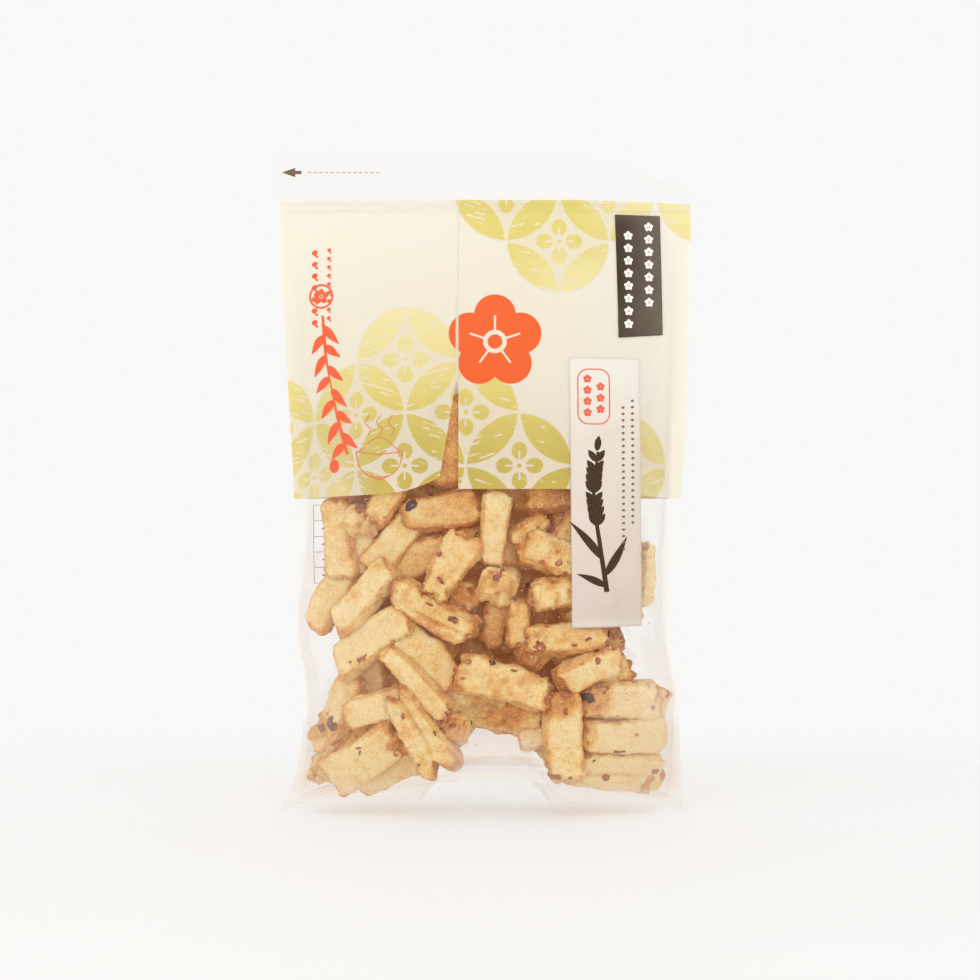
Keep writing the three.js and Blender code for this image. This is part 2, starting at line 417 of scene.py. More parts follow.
STEEPEST = 2.5  # the film's slope, as far as pushing a stick off it is concerned
STEEPEST_UP = 0.3  # the same for pushing it up or down
LONGEST_PUSH, PUSHES = 1.5, 60
FOLD_GAP = 0.4  # sticks stay this much above the bottom fold
TIGHT_ROOM, TIGHT_PUSH = 3, 1.2  # where the films are this close, balls move toward the middle
END_FOLLOWS = 0.65  # how far an end of a stick follows the film rather than its middle
END_ASIDE, END_RISE = 1.5, 2.0  # a stick that points at the viewer runs back with this slant
LOOSE_PUSH, FIXED_PUSH = 0.35, 0.6  # share of an overlap that one step takes away
MOST_PUSH = 3
DROP_SHARE, LAST_DROP = 0.75, 0.1  # sticks drop in full for this share of the steps, then slowly
NEARLY = 0.05  # a stick this little outside is left where it is
# the heap's lower edge as seen from the front
HEAP_FLOOR = [(-76, 10), (-60, 9), (-48, 9), (-35, 11.5), (-22, 14), (-14, 18), (-9, 26),
              (-2, 30), (10, 30), (18, 25), (22, 15), (28, 11.5), (45, 8.5), (62, 6.5), (76, 7)]
# how far loose sticks reach to the left and right at a height
HEAP_LEFT = [(10, 66), (17, 71), (28, 68.5), (34, 67), (40, 62.5), (47, 58), (53, 55), (66, 57),
             (75, 62), (82, 63), (125, 62.5), (150, 66)]
HEAP_RIGHT = [(10, 70), (24, 70), (45, 66), (51, 60), (54, 55), (62, 58), (70, 53), (78, 57.5),
              (120, 58.5), (150, 66)]

# Sticks seen at the front: middle x and z, slope in degrees, length, width, thickness, how many
# layers behind the film, how much browner than the rest, and kind. An "end" stick points at the
# viewer.
# Browner values are partly the sticks' own toasted colour and partly painted shade, for sticks in
# shadow under the print or deep between others.
SEEN_STICKS = [
    (-56.2, 105.5, 97, 31.5, 12.5, 10.0, 0.0, 0, "smooth"),
    (-59.2, 82.6, 60, 28.0, 12.8, 9.5, 0.5, -0.05, "smooth"),
    (-45.5, 83.8, 49, 31.5, 12.4, 10.5, 0.0, -0.05, "smooth"),
    (-46.3, 113.0, 86, 24.0, 14.0, 13.0, 0.2, -0.4, "end"),
    (-36.5, 122.5, 62, 24.0, 11.0, 9.0, 0.3, 0.25, "smooth"),
    (-16.2, 116.2, 14, 29.5, 14.0, 10.0, 0.6, 0.24, "smooth"),
    (-13.0, 142.5, 84, 33.0, 11.5, 9.0, 0.1, 0.6, "smooth"),
    (-35.0, 103.0, 52, 27.0, 13.5, 10.0, 0.7, 0, "smooth"),
    (-25.0, 98.0, 20, 27.0, 14.0, 10.0, 1.1, 0.1, "smooth"),
    (-13.5, 95.0, 60, 28.5, 13.5, 11.0, 0.0, 0.13, "knobbly"),
    (-20.0, 78.2, -29, 34.5, 12.0, 11.0, 0.0, 0.15, "knobbly"),
    (-7.5, 84.0, 80, 26.0, 12.0, 11.0, 0.6, 0.1, "end"),
    (-43.8, 67.2, 37, 35.0, 14.6, 10.5, 0.1, 0, "smooth"),
    (-21.5, 61.0, -44, 28.0, 13.5, 10.0, 0.6, 0.1, "smooth"),
    (-25.6, 51.8, -45, 34.0, 9.2, 8.5, 0.0, 0, "smooth"),
    (-41.0, 41.8, 14, 26.0, 13.0, 9.5, 0.4, 0, "smooth"),
    (-58.5, 38.5, 62, 33.0, 12.5, 10.5, 0.4, 0.05, "knobbly"),
    (-67.0, 20.5, 62, 20.0, 10.0, 5.5, 0.2, -0.15, "smooth"),
    (-49.6, 21.6, 35, 32.5, 16.4, 8.6, 0.0, -0.05, "smooth"),
    (-37.5, 16.4, 27, 27.0, 11.0, 7.5, 1.3, 0, "smooth"),
    (-24.4, 27.6, -60, 35.0, 15.5, 11.0, 0.0, 0, "forked"),
    (-11.0, 34.5, 90, 24.0, 12.0, 12.0, 0.3, 0.1, "end"),
    (-6.0, 44.5, -15, 30.0, 12.0, 10.0, 0.9, 0.15, "knobbly"),
    (3.2, 110.2, 84, 29.0, 10.6, 10.0, 0.3, 0.06, "smooth"),
    (4.8, 88.3, 90, 26.0, 14.0, 14.0, 0.0, -0.2, "end"),
    (17.2, 109.3, 42, 17.0, 9.0, 9.0, 0.6, 0.25, "knobbly"),
    (28.5, 120.2, 2, 27.0, 10.5, 10.0, 0.7, 0.5, "smooth"),
    (30.0, 98.5, -20, 31.0, 13.5, 11.0, 0.0, 0.2, "knobbly"),
    (31.3, 85.7, 4, 29.5, 12.0, 10.5, 0.1, 0.14, "knobbly"),
    (34.5, 109.4, 52, 24.0, 12.0, 10.0, 0.5, 0.15, "smooth"),
    (12.8, 74.0, 86, 18.0, 9.0, 9.0, 0.5, 0.3, "smooth"),
    (3.8, 73.6, 80, 20.0, 9.5, 9.0, 1.2, 0.55, "smooth"),
    (31.0, 68.0, 6, 32.0, 12.3, 10.5, 0.2, 0.2, "knobbly"),
    (18.5, 62.5, 80, 22.0, 11.0, 11.0, 0.6, 0.25, "end"),
    (40.0, 57.0, 24, 26.6, 12.8, 10.5, 0.0, 0.02, "knobbly"),
    (45.2, 55.2, 8, 22.5, 11.0, 9.0, 0.9, 0.1, "knobbly"),
    (7.6, 51.7, -16, 36.0, 14.4, 11.0, 0.0, 0.12, "knobbly"),
    (55.7, 44.3, -3, 33.5, 14.8, 10.0, 0.0, -0.12, "knobbly"),
    (29.5, 28.0, 92, 34.5, 14.0, 11.0, 0.0, -0.02, "smooth"),
    (57.0, 29.8, 0, 35.0, 13.0, 8.0, 0.0, -0.2, "smooth"),
    (56.4, 15.9, -4, 34.0, 14.5, 6.6, 0.0, -0.3, "smooth"),
    (6.5, 38.5, -10, 34.0, 13.0, 10.0, 1.0, 0.3, "knobbly"),
    (19.6, 30.2, 16, 15.0, 9.0, 9.0, 0.8, 0.1, "knobbly"),
    (64.5, 39.0, 70, 20.0, 9.0, 8.5, 0.6, 0, "smooth"),
    (62.2, 91.8, 88, 24.0, 7.0, 6.0, 0.5, -0.6, "smooth"),
    (46.0, 112.0, 70, 30.0, 13.0, 10.5, 0.3, 0.1, "smooth"),
    (30.5, 113.8, 75, 24.0, 12.0, 10.0, 1.3, 0.6, "knobbly"),
    (-47.0, 100.5, 80, 20.0, 9.0, 8.0, 0.9, -0.3, "knobbly"),
    (45.0, 78.0, 15, 30.0, 13.0, 10.5, 0.7, 0.1, "smooth"),
]

# Almond bits seen at the front: x and z, half width and half height, slope in degrees, and tone
# from 0 for burnt to 1 for tan. The tan ones, from 0.6 up, are patches of painted shade in hollows.
SEEN_BITS_AND_SHADE_PATCHES = [
    (-27.8, 119.4, 2.6, 1.9, 25, 0.0),
    (-46.2, 118.4, 2.6, 2.6, 0, 0.25),
    (-59.0, 34.9, 2.3, 3.2, 25, 0.12),
    (-63.4, 33.0, 1.7, 1.8, 0, 0.22),
    (-17.5, 100.6, 1.2, 0.9, 10, 0.4),
    (4.5, 91.6, 2.4, 1.1, 25, 0.22),
    (-12.6, 76.1, 1.9, 1.0, -10, 0.2),
    (3.2, 60.2, 1.5, 1.3, 0, 0.05),
    (38.9, 46.3, 2.6, 2.0, -5, -0.1),
    (30.8, 40.9, 1.2, 1.5, 10, 0.5),
    (43.6, 60.2, 1.3, 1.3, 20, 0.6),
    (65.2, 40.9, 1.1, 1.3, 0, 0.75),
    (25.9, 15.8, 2.3, 1.0, -3, 0.68),
    (46.7, 13.6, 1.9, 1.2, 5, 0.65),
    (66.0, 16.0, 1.6, 1.4, 0, 0.35),
    (-48.4, 25.8, 1.2, 0.35, 10, 0.5),
    (-47.6, 24.0, 0.35, 1.5, -14, 0.5),
    (-12.3, 36.4, 1.2, 0.9, 30, 0.4),
    (-15.0, 33.6, 0.8, 0.7, 0, 0.5),
    (48.2, 69.6, 1.7, 1.5, 0, 0.05),
    (-51.5, 59.8, 0.6, 0.5, 0, 0.4),
    (21.4, 97.0, 1.3, 0.9, 0, 0.75),
    (28.8, 96.6, 1.5, 1.1, 20, 0.75),
    (39.9, 68.9, 1.6, 0.8, 15, 0.55),
    (34.0, 66.4, 1.0, 0.7, 0, 0.6),
    (-6.2, 59.4, 1.3, 0.9, 0, 0.75),
    (-8.0, 54.8, 0.9, 0.7, 0, 0.75),
    (11.5, 57.2, 1.7, 0.5, -12, 0.4),
    (58.7, 30.4, 0.8, 0.6, 0, 0.7),
    (52.0, 23.8, 2.6, 0.5, -4, 0.5),
    (45.5, 46.8, 0.9, 0.8, 0, 0.5),
    (47.5, 49.5, 1.1, 0.7, 20, 0.35),
    (41.8, 20.6, 0.7, 0.5, 0, 0.7),
    (-31.0, 38.6, 0.7, 1.4, 10, 0.75),
    (-19.4, 32.6, 0.6, 1.2, 20, 0.5),
    (-25.4, 20.2, 0.6, 0.5, 0, 0.4),
    (-20.5, 82.0, 1.8, 0.6, -25, 0.5),
    (-65.0, 14.0, 1.2, 0.9, 30, 0.5),
]

# Where the sticks at the front are browner: x and z, reach across and up, how much.
BROWN_PLACES = [
    (28.5, 44.0, 8, 7.0, 0.8),
    (42.9, 45.6, 7, 8, 0.85),
    (40.0, 32.0, 4, 6, 0.4),
    (-63.5, 33.0, 6, 6, 0.4),
    (-14.5, 90.0, 12, 14, 0.12),
    (-15.0, 78.0, 13, 6, 0.2),
    (-1.7, 52.6, 12, 6, 0.1),
    (-35.7, 48.6, 4, 6, 0.3),
    (5.9, 39.4, 9, 6, 0.25),
    (43.6, 67.8, 9, 6, 0.12),
]


def browner_near(points):
    """How much browner the sticks at the front are at these points."""
    more = np.zeros(len(points))
    for x, z, reach_x, reach_z, amount in BROWN_PLACES:
        far = np.hypot((points[:, 0] - x) / reach_x, (points[:, 2] - z) / reach_z)
        more += amount * smooth_step(1.2, 0.5, far)
    return more


def film_slope(x, z, step):
    """How steeply the film's standing-out rises to the right and upwards."""
    rise_x = stand_out(x + step, z) - stand_out(x - step, z)
    rise_z = stand_out(x, z + step) - stand_out(x, z - step)
    return rise_x / (2 * step), rise_z / (2 * step)


def film_room(x, z, thickness):
    """How far from the middle plane a stick's middle may lie under the film."""
    return np.maximum(0, stand_out(x, z) - FILM_CLEAR - thickness / 2)


def seen_ends():
    """Both ends, size, tone and kind of the sticks placed at the front."""
    rows = []
    for x, z, slope, length, width, thickness, layer, browner, kind in SEEN_STICKS:
        room = film_room(x, z, thickness)
        deeper = layer * LAYER_STEP
        if kind == "end":
            near = np.array([x, deeper - room, z])
            ends = [near, near + [END_ASIDE, length - thickness, END_RISE]]
        else:
            turn = math.radians(slope)
            step = (length - width) / 2 * np.array([math.cos(turn), math.sin(turn)])
            ends = []
            for way in (-1, 1):
                end_x, end_z = x + way * step[0], z + way * step[1]
                end_room = film_room(end_x, end_z, thickness)
                end_room = (1 - END_FOLLOWS) * room + END_FOLLOWS * end_room
                ends.append(np.array([end_x, deeper - end_room, end_z]))
        rows.append((*ends, length, width, thickness, browner, kind))
    return rows


def ball_centres(ends):
    """Middles of the balls that stand for each stick."""
    share = np.linspace(0, 1, BALLS)[None, :, None]
    return ends[:, :1] * (1 - share) + ends[:, 1:] * share


def fold_floor(x, y, z):
    """The lowest place over the bottom fold."""
    share = np.clip(y / (stand_out(x, z) + 1e-6), -1, 1)
    return floor_height(x, share) + FOLD_GAP


def heap_floor(x, y, z):
    """The lowest place for a loose stick: the fold, or the heap's edge seen from the front."""
    return np.maximum(fold_floor(x, y, z), through_knots(HEAP_FLOOR, x))


def push_off(balls, others, same, weight):
    """How far the balls are pushed off the others that they overlap, apart from their own."""
    apart = balls[:, None] - others[None]
    distance = np.linalg.norm(apart, axis=2) + 1e-6
    overlap = np.maximum(0, 2 * BALL_RADIUS - distance)
    if same is not None:
        overlap[same] = 0
    return weight * (apart / distance[..., None] * overlap[..., None]).sum(1)


def keep_in_heap(balls):
    """The balls moved between the films, the heap's sides and its lower edge."""
    room = film_room(balls[:, 0], np.maximum(balls[:, 2], 4), 2 * BALL_RADIUS - 1)
    tight = np.maximum(0, 1 - room / TIGHT_ROOM)
    x = balls[:, 0] - np.sign(balls[:, 0]) * tight * TIGHT_PUSH
    y = np.clip(balls[:, 1], -room, room)
    z = balls[:, 2]
    x = np.clip(x, BALL_RADIUS - through_knots(HEAP_LEFT, z),
                through_knots(HEAP_RIGHT, z) - BALL_RADIUS)
    return np.stack([x, y, np.maximum(z, heap_floor(x, y, z) + BALL_RADIUS)], 1)


def settle(ends, core, fixed, steps, drop):
    """Pushes loose sticks apart, and down, until they fit round the fixed ones in the film."""
    share = np.linspace(0, 1, BALLS)[None, :, None]
    own = np.repeat(np.arange(len(ends)), BALLS)
    same = own[:, None] == own[None, :]
    for step in range(steps):
        balls = ball_centres(ends).reshape(-1, 3)
        push = push_off(balls, balls, same, LOOSE_PUSH) + push_off(balls, fixed, None, FIXED_PUSH)
        push = np.clip(push, -MOST_PUSH, MOST_PUSH)
        push[:, 2] -= drop if step < steps * DROP_SHARE else LAST_DROP
        shift = (keep_in_heap(balls + push) - balls).reshape(len(ends), BALLS, 3)
        ends[:, 0] += (shift * (1 - share)).sum(1) / 2
        ends[:, 1] += (shift * share).sum(1) / 2
        centre = ends.mean(1)
        along = ends[:, 1] - ends[:, 0]
        along *= (core / np.linalg.norm(along, axis=1))[:, None]
        ends = np.stack([centre - along / 2, centre + along / 2], 1)
    return ends


def random_sticks(rng, count, middle):
    """Sizes, lengths between the end balls and both ends of sticks turned at random."""
    size = np.stack([rng.uniform(least, most, count) for least, most in LOOSE_SIZES], 1)
    core = size[:, 0] - size[:, 1]
    way = rng.normal(size=(count, 3)) * LOOSE_WAY
    way /= np.linalg.norm(way, axis=1)[:, None]
    reach = way * core[:, None] / 2
    return size, core, np.stack([middle - reach, middle + reach], 1)


def widest_holes(balls, count):
    """Places, seen from the front, that are farthest from any stick's balls."""
    x, z = np.meshgrid(np.arange(-HOLE_SIDE, HOLE_SIDE + 1, HOLE_STEP),
                       np.arange(HOLE_LOW, HOLE_HIGH, HOLE_STEP))
    spots = np.stack([x.ravel(), z.ravel()], 1)
    cover = balls[:, [0, 2]]
    holes = []
    for _ in range(count):
        apart = np.linalg.norm(spots[:, None] - cover[None], axis=2).min(1)
        best = spots[np.argmax(apart)]
        holes.append(best)
        cover = np.concatenate([cover, best + np.array(HOLE_FILL)])
    return np.array(holes)


def settled_sticks():
    """Loose sticks dropped round the seen ones, with more of them behind any hole."""
    rng = np.random.default_rng(11)
    seen = seen_ends()
    fixed = ball_centres(np.array([[row[0], row[1]] for row in seen])).reshape(-1, 3)
    middle = np.stack([rng.uniform(least, most, LOOSE_COUNT) for least, most in LOOSE_PLACES], 1)
    size, core, ends = random_sticks(rng, LOOSE_COUNT, middle)
    ends = settle(ends, core, fixed, *FIRST_SETTLE)
    balls = np.concatenate([fixed, ball_centres(ends).reshape(-1, 3)])
    holes = widest_holes(balls, GAP_COUNT)
    middle = np.stack([holes[:, 0], rng.uniform(*GAP_DEPTH, GAP_COUNT), holes[:, 1]], 1)
    more_size, more_core, more_ends = random_sticks(rng, GAP_COUNT, middle)
    size, core = np.concatenate([size, more_size]), np.concatenate([core, more_core])
    ends = settle(np.concatenate([ends, more_ends]), core, fixed, *SECOND_SETTLE)
    kinds = rng.choice(LOOSE_KINDS, len(size), p=LOOSE_SHARES)
    loose = [(*ends[i], *size[i], LOOSE_BROWNER, kinds[i]) for i in range(len(size))]
    return seen, loose


def push_inside(points, seen):
    """Moves a whole stick off the film and the heap's lower edge, and a loose one off its sides."""
    points = points.copy()
    spare = PRESS_OUT if seen else 0
    for _ in range(PUSHES):
        x, y, z = points.T
        gap = stand_out(x, z) - FILM_CLEAR - np.abs(y) + spare
        low = z - (fold_floor(x, y, z) if seen else heap_floor(x, y, z))
        worst, lowest = np.argmin(gap), np.argmin(low)
        if gap[worst] > -NEARLY and low[lowest] > -NEARLY:
            break
        if low[lowest] < gap[worst]:
            points[:, 2] -= low[lowest]
            continue
        slope_x, slope_z = film_slope(x[worst], z[worst], 0.5)
        way = np.array([np.clip(slope_x, -STEEPEST, STEEPEST), -np.sign(y[worst]),
                        np.clip(slope_z, -STEEPEST_UP, STEEPEST_UP)])
        points += way * min(LONGEST_PUSH, -gap[worst]) / (way @ way)
    if not seen:
        x, _, z = points.T
        points[:, 0] -= max(0, np.max(x - through_knots(HEAP_RIGHT, z)))
        points[:, 0] += max(0, np.max(-x - through_knots(HEAP_LEFT, z)))
    return points


# ---- Rice cracker sticks: their form ----

def box_lattice(cells):
    """Points on a box's surface from -1 to 1, and its squares, with shared edges."""
    index, points, faces = {}, [], []

    def corner(place):
        if place not in index:
            index[place] = len(points)
            points.append([2 * place[axis] / cells[axis] - 1 for axis in range(3)])
        return index[place]

    for axis in range(3):
        one, two = (axis + 1) % 3, (axis + 2) % 3
        for side in (0, cells[axis]):
            for a, b in itertools.product(range(cells[one]), range(cells[two])):
                square = []
                for da, db in ((0, 0), (1, 0), (1, 1), (0, 1)):
                    place = [0, 0, 0]
                    place[axis], place[one], place[two] = side, a + da, b + db
                    square.append(corner(tuple(place)))
                faces.append(square if side else square[::-1])
    return np.array(points), np.array(faces)


FINE = box_lattice((46, 19, 14))
COARSE = box_lattice((26, 12, 9))
BIT_LATTICE = box_lattice((3, 3, 2))
DUST_LATTICE = box_lattice((1, 1, 1))
ROUGHNESS = {"smooth": 0.45, "end": 0.8, "knobbly": 1.15, "forked": 0.9}
GROOVE_CHANCE = {"smooth": 0.05, "end": 0.05, "knobbly": 0.12, "forked": 1}


class StickForm:
    """A stick along X with its broad face to +Z: points, outward directions, and how brown it is,
    toasted and with painted shade.
    """

    def __init__(self, length, width, thickness, kind, lattice, seed):
        self.rng = np.random.default_rng(seed)
        self.lumps = Lumps(seed)
        self.kind, self.rough = kind, ROUGHNESS[kind]
        self.half = half = np.array([length, width, thickness]) / 2
        radius = min(half[1:]) * self.rng.uniform(0.5, 0.74)
        spread = lattice * half
        inner = np.clip(spread, radius - half, half - radius)
        away = spread - inner
        self.out = away / np.linalg.norm(away, axis=1)[:, None]
        self.points = inner + radius * self.out
        self.along = self.points[:, 0] / half[0]
        self.at = self.points + self.rng.uniform(-40, 40, 3)  # where the lumps are read
        self.at_end = smooth_step(0.72, 1, np.abs(self.along))
        self.side_on = 1 - smooth_step(0.55, 0.95, np.abs(self.out[:, 2]))
        self.wander_sides()
        self.points[:, 1] *= 1 + self.rng.uniform(-0.12, 0.12) * self.along  # wider at one end
        relief, holes = self.crust()
        groove = self.groove(width)
        relief = relief - (2.6 if kind == "forked" else 1.1) * groove
        self.points = self.points + self.out * relief[:, None]
        self.break_ends()
        self.bend_and_twist()
        self.toast_and_shade = self.toasting_and_shading(holes, groove)

    def wander_sides(self):
        """Each long side wanders on its own, the broad faces less."""
        points, lumps = self.points, self.lumps
        for axis, most in ((1, 1.0), (2, 0.6)):
            way = np.sign(points[:, axis])
            line = np.stack([points[:, 0], 40.0 * way, np.full(len(points), 9.0 * axis)], 1)
            wander = most * (lumps(line, 12) + 0.5 * self.rough * lumps(line + 5, 5.5))
            points[:, axis] += way * wander * np.abs(points[:, axis]) / self.half[axis]

    def crust(self):
        """Bubbles, crags and small holes: few on the broad faces, many on the sides and ends."""
        rough, at, lumps = self.rough, self.at, self.lumps
        craggy = 0.12 + 0.45 * rough + 0.3 * self.side_on + 0.45 * rough * self.at_end
        craggy = np.clip(craggy, 0, 1.3)
        relief = 0.6 * lumps(at, 9) + (0.15 + 0.35 * rough) * lumps(at, 4.6)
        bubbles = np.abs(lumps(at + 17, 3.6)) + 0.6 * np.abs(lumps(at + 27, 2.1))
        relief += craggy * (0.95 * bubbles - 0.5)
        relief += craggy * 0.4 * lumps(at + 31, 1.5)
        holes = smooth_step(0.42, 0.72, lumps(at + 51, 2.7)) * craggy
        return relief - 1.5 * holes, holes

    def groove(self, width):
        """How deep each place lies in the groove that some sticks have along a broad face."""
        if self.rng.random() >= GROOVE_CHANCE[self.kind]:
            return np.zeros(len(self.points))
        middle = self.rng.uniform(-0.2, 0.2) * width
        middle = middle + self.rng.uniform(-0.09, 0.09) * self.points[:, 0]
        wide = 1.0 if self.kind == "forked" else 0.7
        groove = np.exp(-(((self.points[:, 1] - middle) / wide) ** 2)) * np.abs(self.out[:, 2])
        return groove * smooth_step(-1.1, 0.2, self.along * self.rng.choice([-1, 1]))

    def break_ends(self):
        """Broken ends: slanting, ragged, with chipped corners, and split if the stick is forked."""
        points, along, at = self.points, self.along, self.at
        end_way = np.sign(along)
        slant = self.rng.uniform(-0.22, 0.22, 2)
        cut = np.where(end_way > 0, slant[0], slant[1]) * points[:, 1] * self.at_end
        ragged = (0.5 + self.rough) * 1.25 * self.lumps(at * [0.3, 1, 1] + 3, 3.2) * self.at_end
        corner = smooth_step(0.4, 1, np.abs(points[:, 1]) / self.half[1]) * self.at_end
        chip = 2.6 * np.maximum(0, self.lumps(at + 70, 8)) * corner
        points[:, 0] += cut + end_way * (ragged - chip * 1.4)
        points[:, 1] -= np.sign(points[:, 1]) * chip
        if self.kind == "forked":
            notch = np.exp(-((points[:, 1] / 1.7) ** 2)) * smooth_step(0.55, 1, np.abs(along))
            points[:, 0] -= end_way * notch * 4.5

    def bend_and_twist(self):
        points = self.points
        bend, lift = self.rng.uniform(-0.005, 0.005), self.rng.uniform(-0.003, 0.003)
        points[:, 1] += bend * points[:, 0] ** 2
        points[:, 2] += lift * points[:, 0] ** 2
        twist = self.rng.uniform(-0.014, 0.014) * points[:, 0]
        y, z = points[:, 1].copy(), points[:, 2].copy()
        points[:, 1] = y * np.cos(twist) - z * np.sin(twist)
        points[:, 2] = y * np.sin(twist) + z * np.cos(twist)

    def toasting_and_shading(self, holes, groove):
        """Edges, sides, ends, holes and grooves are browner than the broad faces: partly toasted
        crust, partly painted shade on the sides and edges and in the holes and grooves.
        """
        rough, at, lumps = self.rough, self.at, self.lumps
        edge = np.clip((1 - np.abs(self.out).max(1)) / 0.29, 0, 1)
        # painted shade: sides, edges, holes and grooves are darkened as well as toasted
        toast_and_shade = 0.13 + 0.22 * edge + 0.32 * self.side_on + 0.22 * rough * self.at_end
        toast_and_shade += 0.24 * lumps(at + 5, 6.5) + (0.12 + 0.2 * rough) * lumps(at + 8, 2.6)
        toast_and_shade += 0.25 * holes + 0.25 * groove + self.rng.uniform(-0.1, 0.14)
        return np.clip(toast_and_shade, 0, 1.2)


def stand_axes(near, far, roll):
    """Axes of a stick between two ends: along it, across it and out of its broad face."""
    along = far - near
    along = along / np.linalg.norm(along)
    middle = (near + far) / 2
    slope_x, slope_z = film_slope(middle[0], middle[2], 1.5)
    outward = np.array([-slope_x, -1 if middle[1] < 0 else 1, -slope_z])
    if abs(along[1]) > 0.8:  # a stick that points at the viewer lies flat
        outward = np.array([0.2, 0, 1.0])
    outward = outward - along * (outward @ along)
    outward /= np.linalg.norm(outward)
    across = np.cross(outward, along)
    turned = across * math.cos(roll) + outward * math.sin(roll)
    return np.stack([along, turned, np.cross(along, turned)])


def almond_bit(rng):
    """A small angular crumb of nut: points and faces round the origin, about 1 mm in radius."""
    lattice, faces = BIT_LATTICE
    points = lattice / (np.linalg.norm(lattice, axis=1) ** 0.75)[:, None]
    points = points * [rng.uniform(0.9, 1.9), rng.uniform(0.6, 1.2), rng.uniform(0.4, 0.6)]
    return points + rng.normal(scale=0.17, size=points.shape), faces


class Heap:
    """Meshes gathered into one piece."""

    def __init__(self):
        self.points, self.outward, self.faces, self.values = [], [], [], []
        self.count = 0

    def add(self, points, faces, values, outward=None):
        self.points.append(points)
        self.outward.append(outward)
        self.faces.append(np.asarray(faces) + self.count)
        self.values.append(values)
        self.count += len(points)

    def piece(self, name, material, key):
        return make_piece(name, np.concatenate(self.points), np.concatenate(self.faces),
                          material, values={key: np.concatenate(self.values)})

    def all_points(self):
        return np.concatenate(self.points)

    def all_outward(self):
        return np.concatenate(self.outward)


FRONT_ROLL, DEEP_ROLL = 0.25, 0.9  # how far a stick may be rolled about its length
NEAR_FILM = 20  # a stick with this sum of its ends' y lies along a film
FORM_SEED, TURN_SEED = 500, 100


def make_sticks():
    """All sticks, gathered by kind, and the almond crumbs on them."""
    seen, loose = settled_sticks()
    heaps = {"smooth": Heap(), "crumbly": Heap(), "behind": Heap(), "deeper": Heap()}
    nuts = Heap()
    for number, (near, far, length, width, thickness, browner, kind) in enumerate(seen + loose):
        rng = np.random.default_rng(TURN_SEED + number)
        front = number < len(seen)
        lattice, faces = FINE if front else COARSE
        stick = StickForm(length, width, thickness, kind, lattice, FORM_SEED + number)
        most_roll = FRONT_ROLL if front or abs(near[1] + far[1]) > NEAR_FILM else DEEP_ROLL
        axes = stand_axes(near, far, rng.uniform(-most_roll, most_roll))
        placed = push_inside(stick.points @ axes + (near + far) / 2, front)
        toast_and_shade = stick.toast_and_shade + browner
        if front:
            toast_and_shade = toast_and_shade + browner_near(placed)
            heap = heaps["smooth" if kind == "smooth" else "crumbly"]
        else:
            toast_and_shade = toast_and_shade + (0.15 if near[1] + far[1] < 14 else 0)
            heap = heaps["behind" if number % 2 else "deeper"]
        heap.add(placed, faces, toast_and_shade, stick.out @ axes)
        add_nuts(nuts, rng, placed, stick.out @ axes, kind, front)
    add_seen_bits(nuts, heaps["smooth"], heaps["crumbly"])
    return heaps, nuts


BIT_DEEP = 0.45  # half the thickness of a bit seen at the front
BIT_SUNK = 0.12
BIT_NEAR, BIT_PULL = 0.9, 60  # how near its place a bit must sit, against how far in front


def add_seen_bits(nuts, smooth, crumbly):
    """The almond bits whose places the photo shows, flush in the stick that is in front; the tan
    ones are patches of painted shade.
    """
    points = np.concatenate([smooth.all_points(), crumbly.all_points()])
    outward = np.concatenate([smooth.all_outward(), crumbly.all_outward()])
    rng = np.random.default_rng(37)
    lattice, faces = BIT_LATTICE
    bit = lattice / (np.linalg.norm(lattice, axis=1) ** 0.8)[:, None]
    for x, z, half_x, half_z, slope, tone in SEEN_BITS_AND_SHADE_PATCHES:
        apart = np.hypot(points[:, 0] - x, points[:, 2] - z)
        spot = np.argmin(points[:, 1] + BIT_PULL * np.maximum(0, apart - BIT_NEAR))
        normal = outward[spot]
        turn = math.radians(slope)
        along = np.array([math.cos(turn), 0, math.sin(turn)])
        along -= normal * (along @ normal)
        along /= np.linalg.norm(along)
        axes = np.stack([along, np.cross(normal, along), normal])
        ragged = rng.normal(scale=0.07 + 0.08 * half_x, size=bit.shape) * [1, 1, 0.5]
        form = bit * [half_x, half_z, BIT_DEEP] + ragged
        nuts.add(form @ axes + (points[spot] - normal * BIT_SUNK), faces, np.full(len(bit), tone))


FLUSH = 0.1  # how far a bit may stand out of a stick at the front


def add_nuts(nuts, rng, points, out, kind, front):
    """A few almond crumbs at random places of one stick; on a front stick they stay flush."""
    many = rng.integers(1, 4) if kind == "smooth" else rng.integers(3, 7)
    if front:
        many = many // 3
    for _ in range(many):
        spot = rng.integers(len(points))
        bit, faces = almond_bit(rng)
        normal = out[spot]
        side = np.cross(normal, rng.normal(size=3))
        side /= np.linalg.norm(side)
        axes = np.stack([side, np.cross(normal, side), normal])
        size = 0.6 + 1.3 * rng.random() ** 1.6
        tone = rng.uniform(0.1, 1)
        placed = bit * size @ axes + points[spot] - normal * 0.16 * size
        if front:
            placed[:, 1] = np.maximum(placed[:, 1], points[spot, 1] - FLUSH)
        nuts.add(placed, faces, np.full(len(bit), tone))


DUST_COUNT, DUST_SPREAD = 2300, 5
DUST_LOW, DUST_HIGH, DUST_SIDE = 14, 150, 66  # no dust outside this part of the front


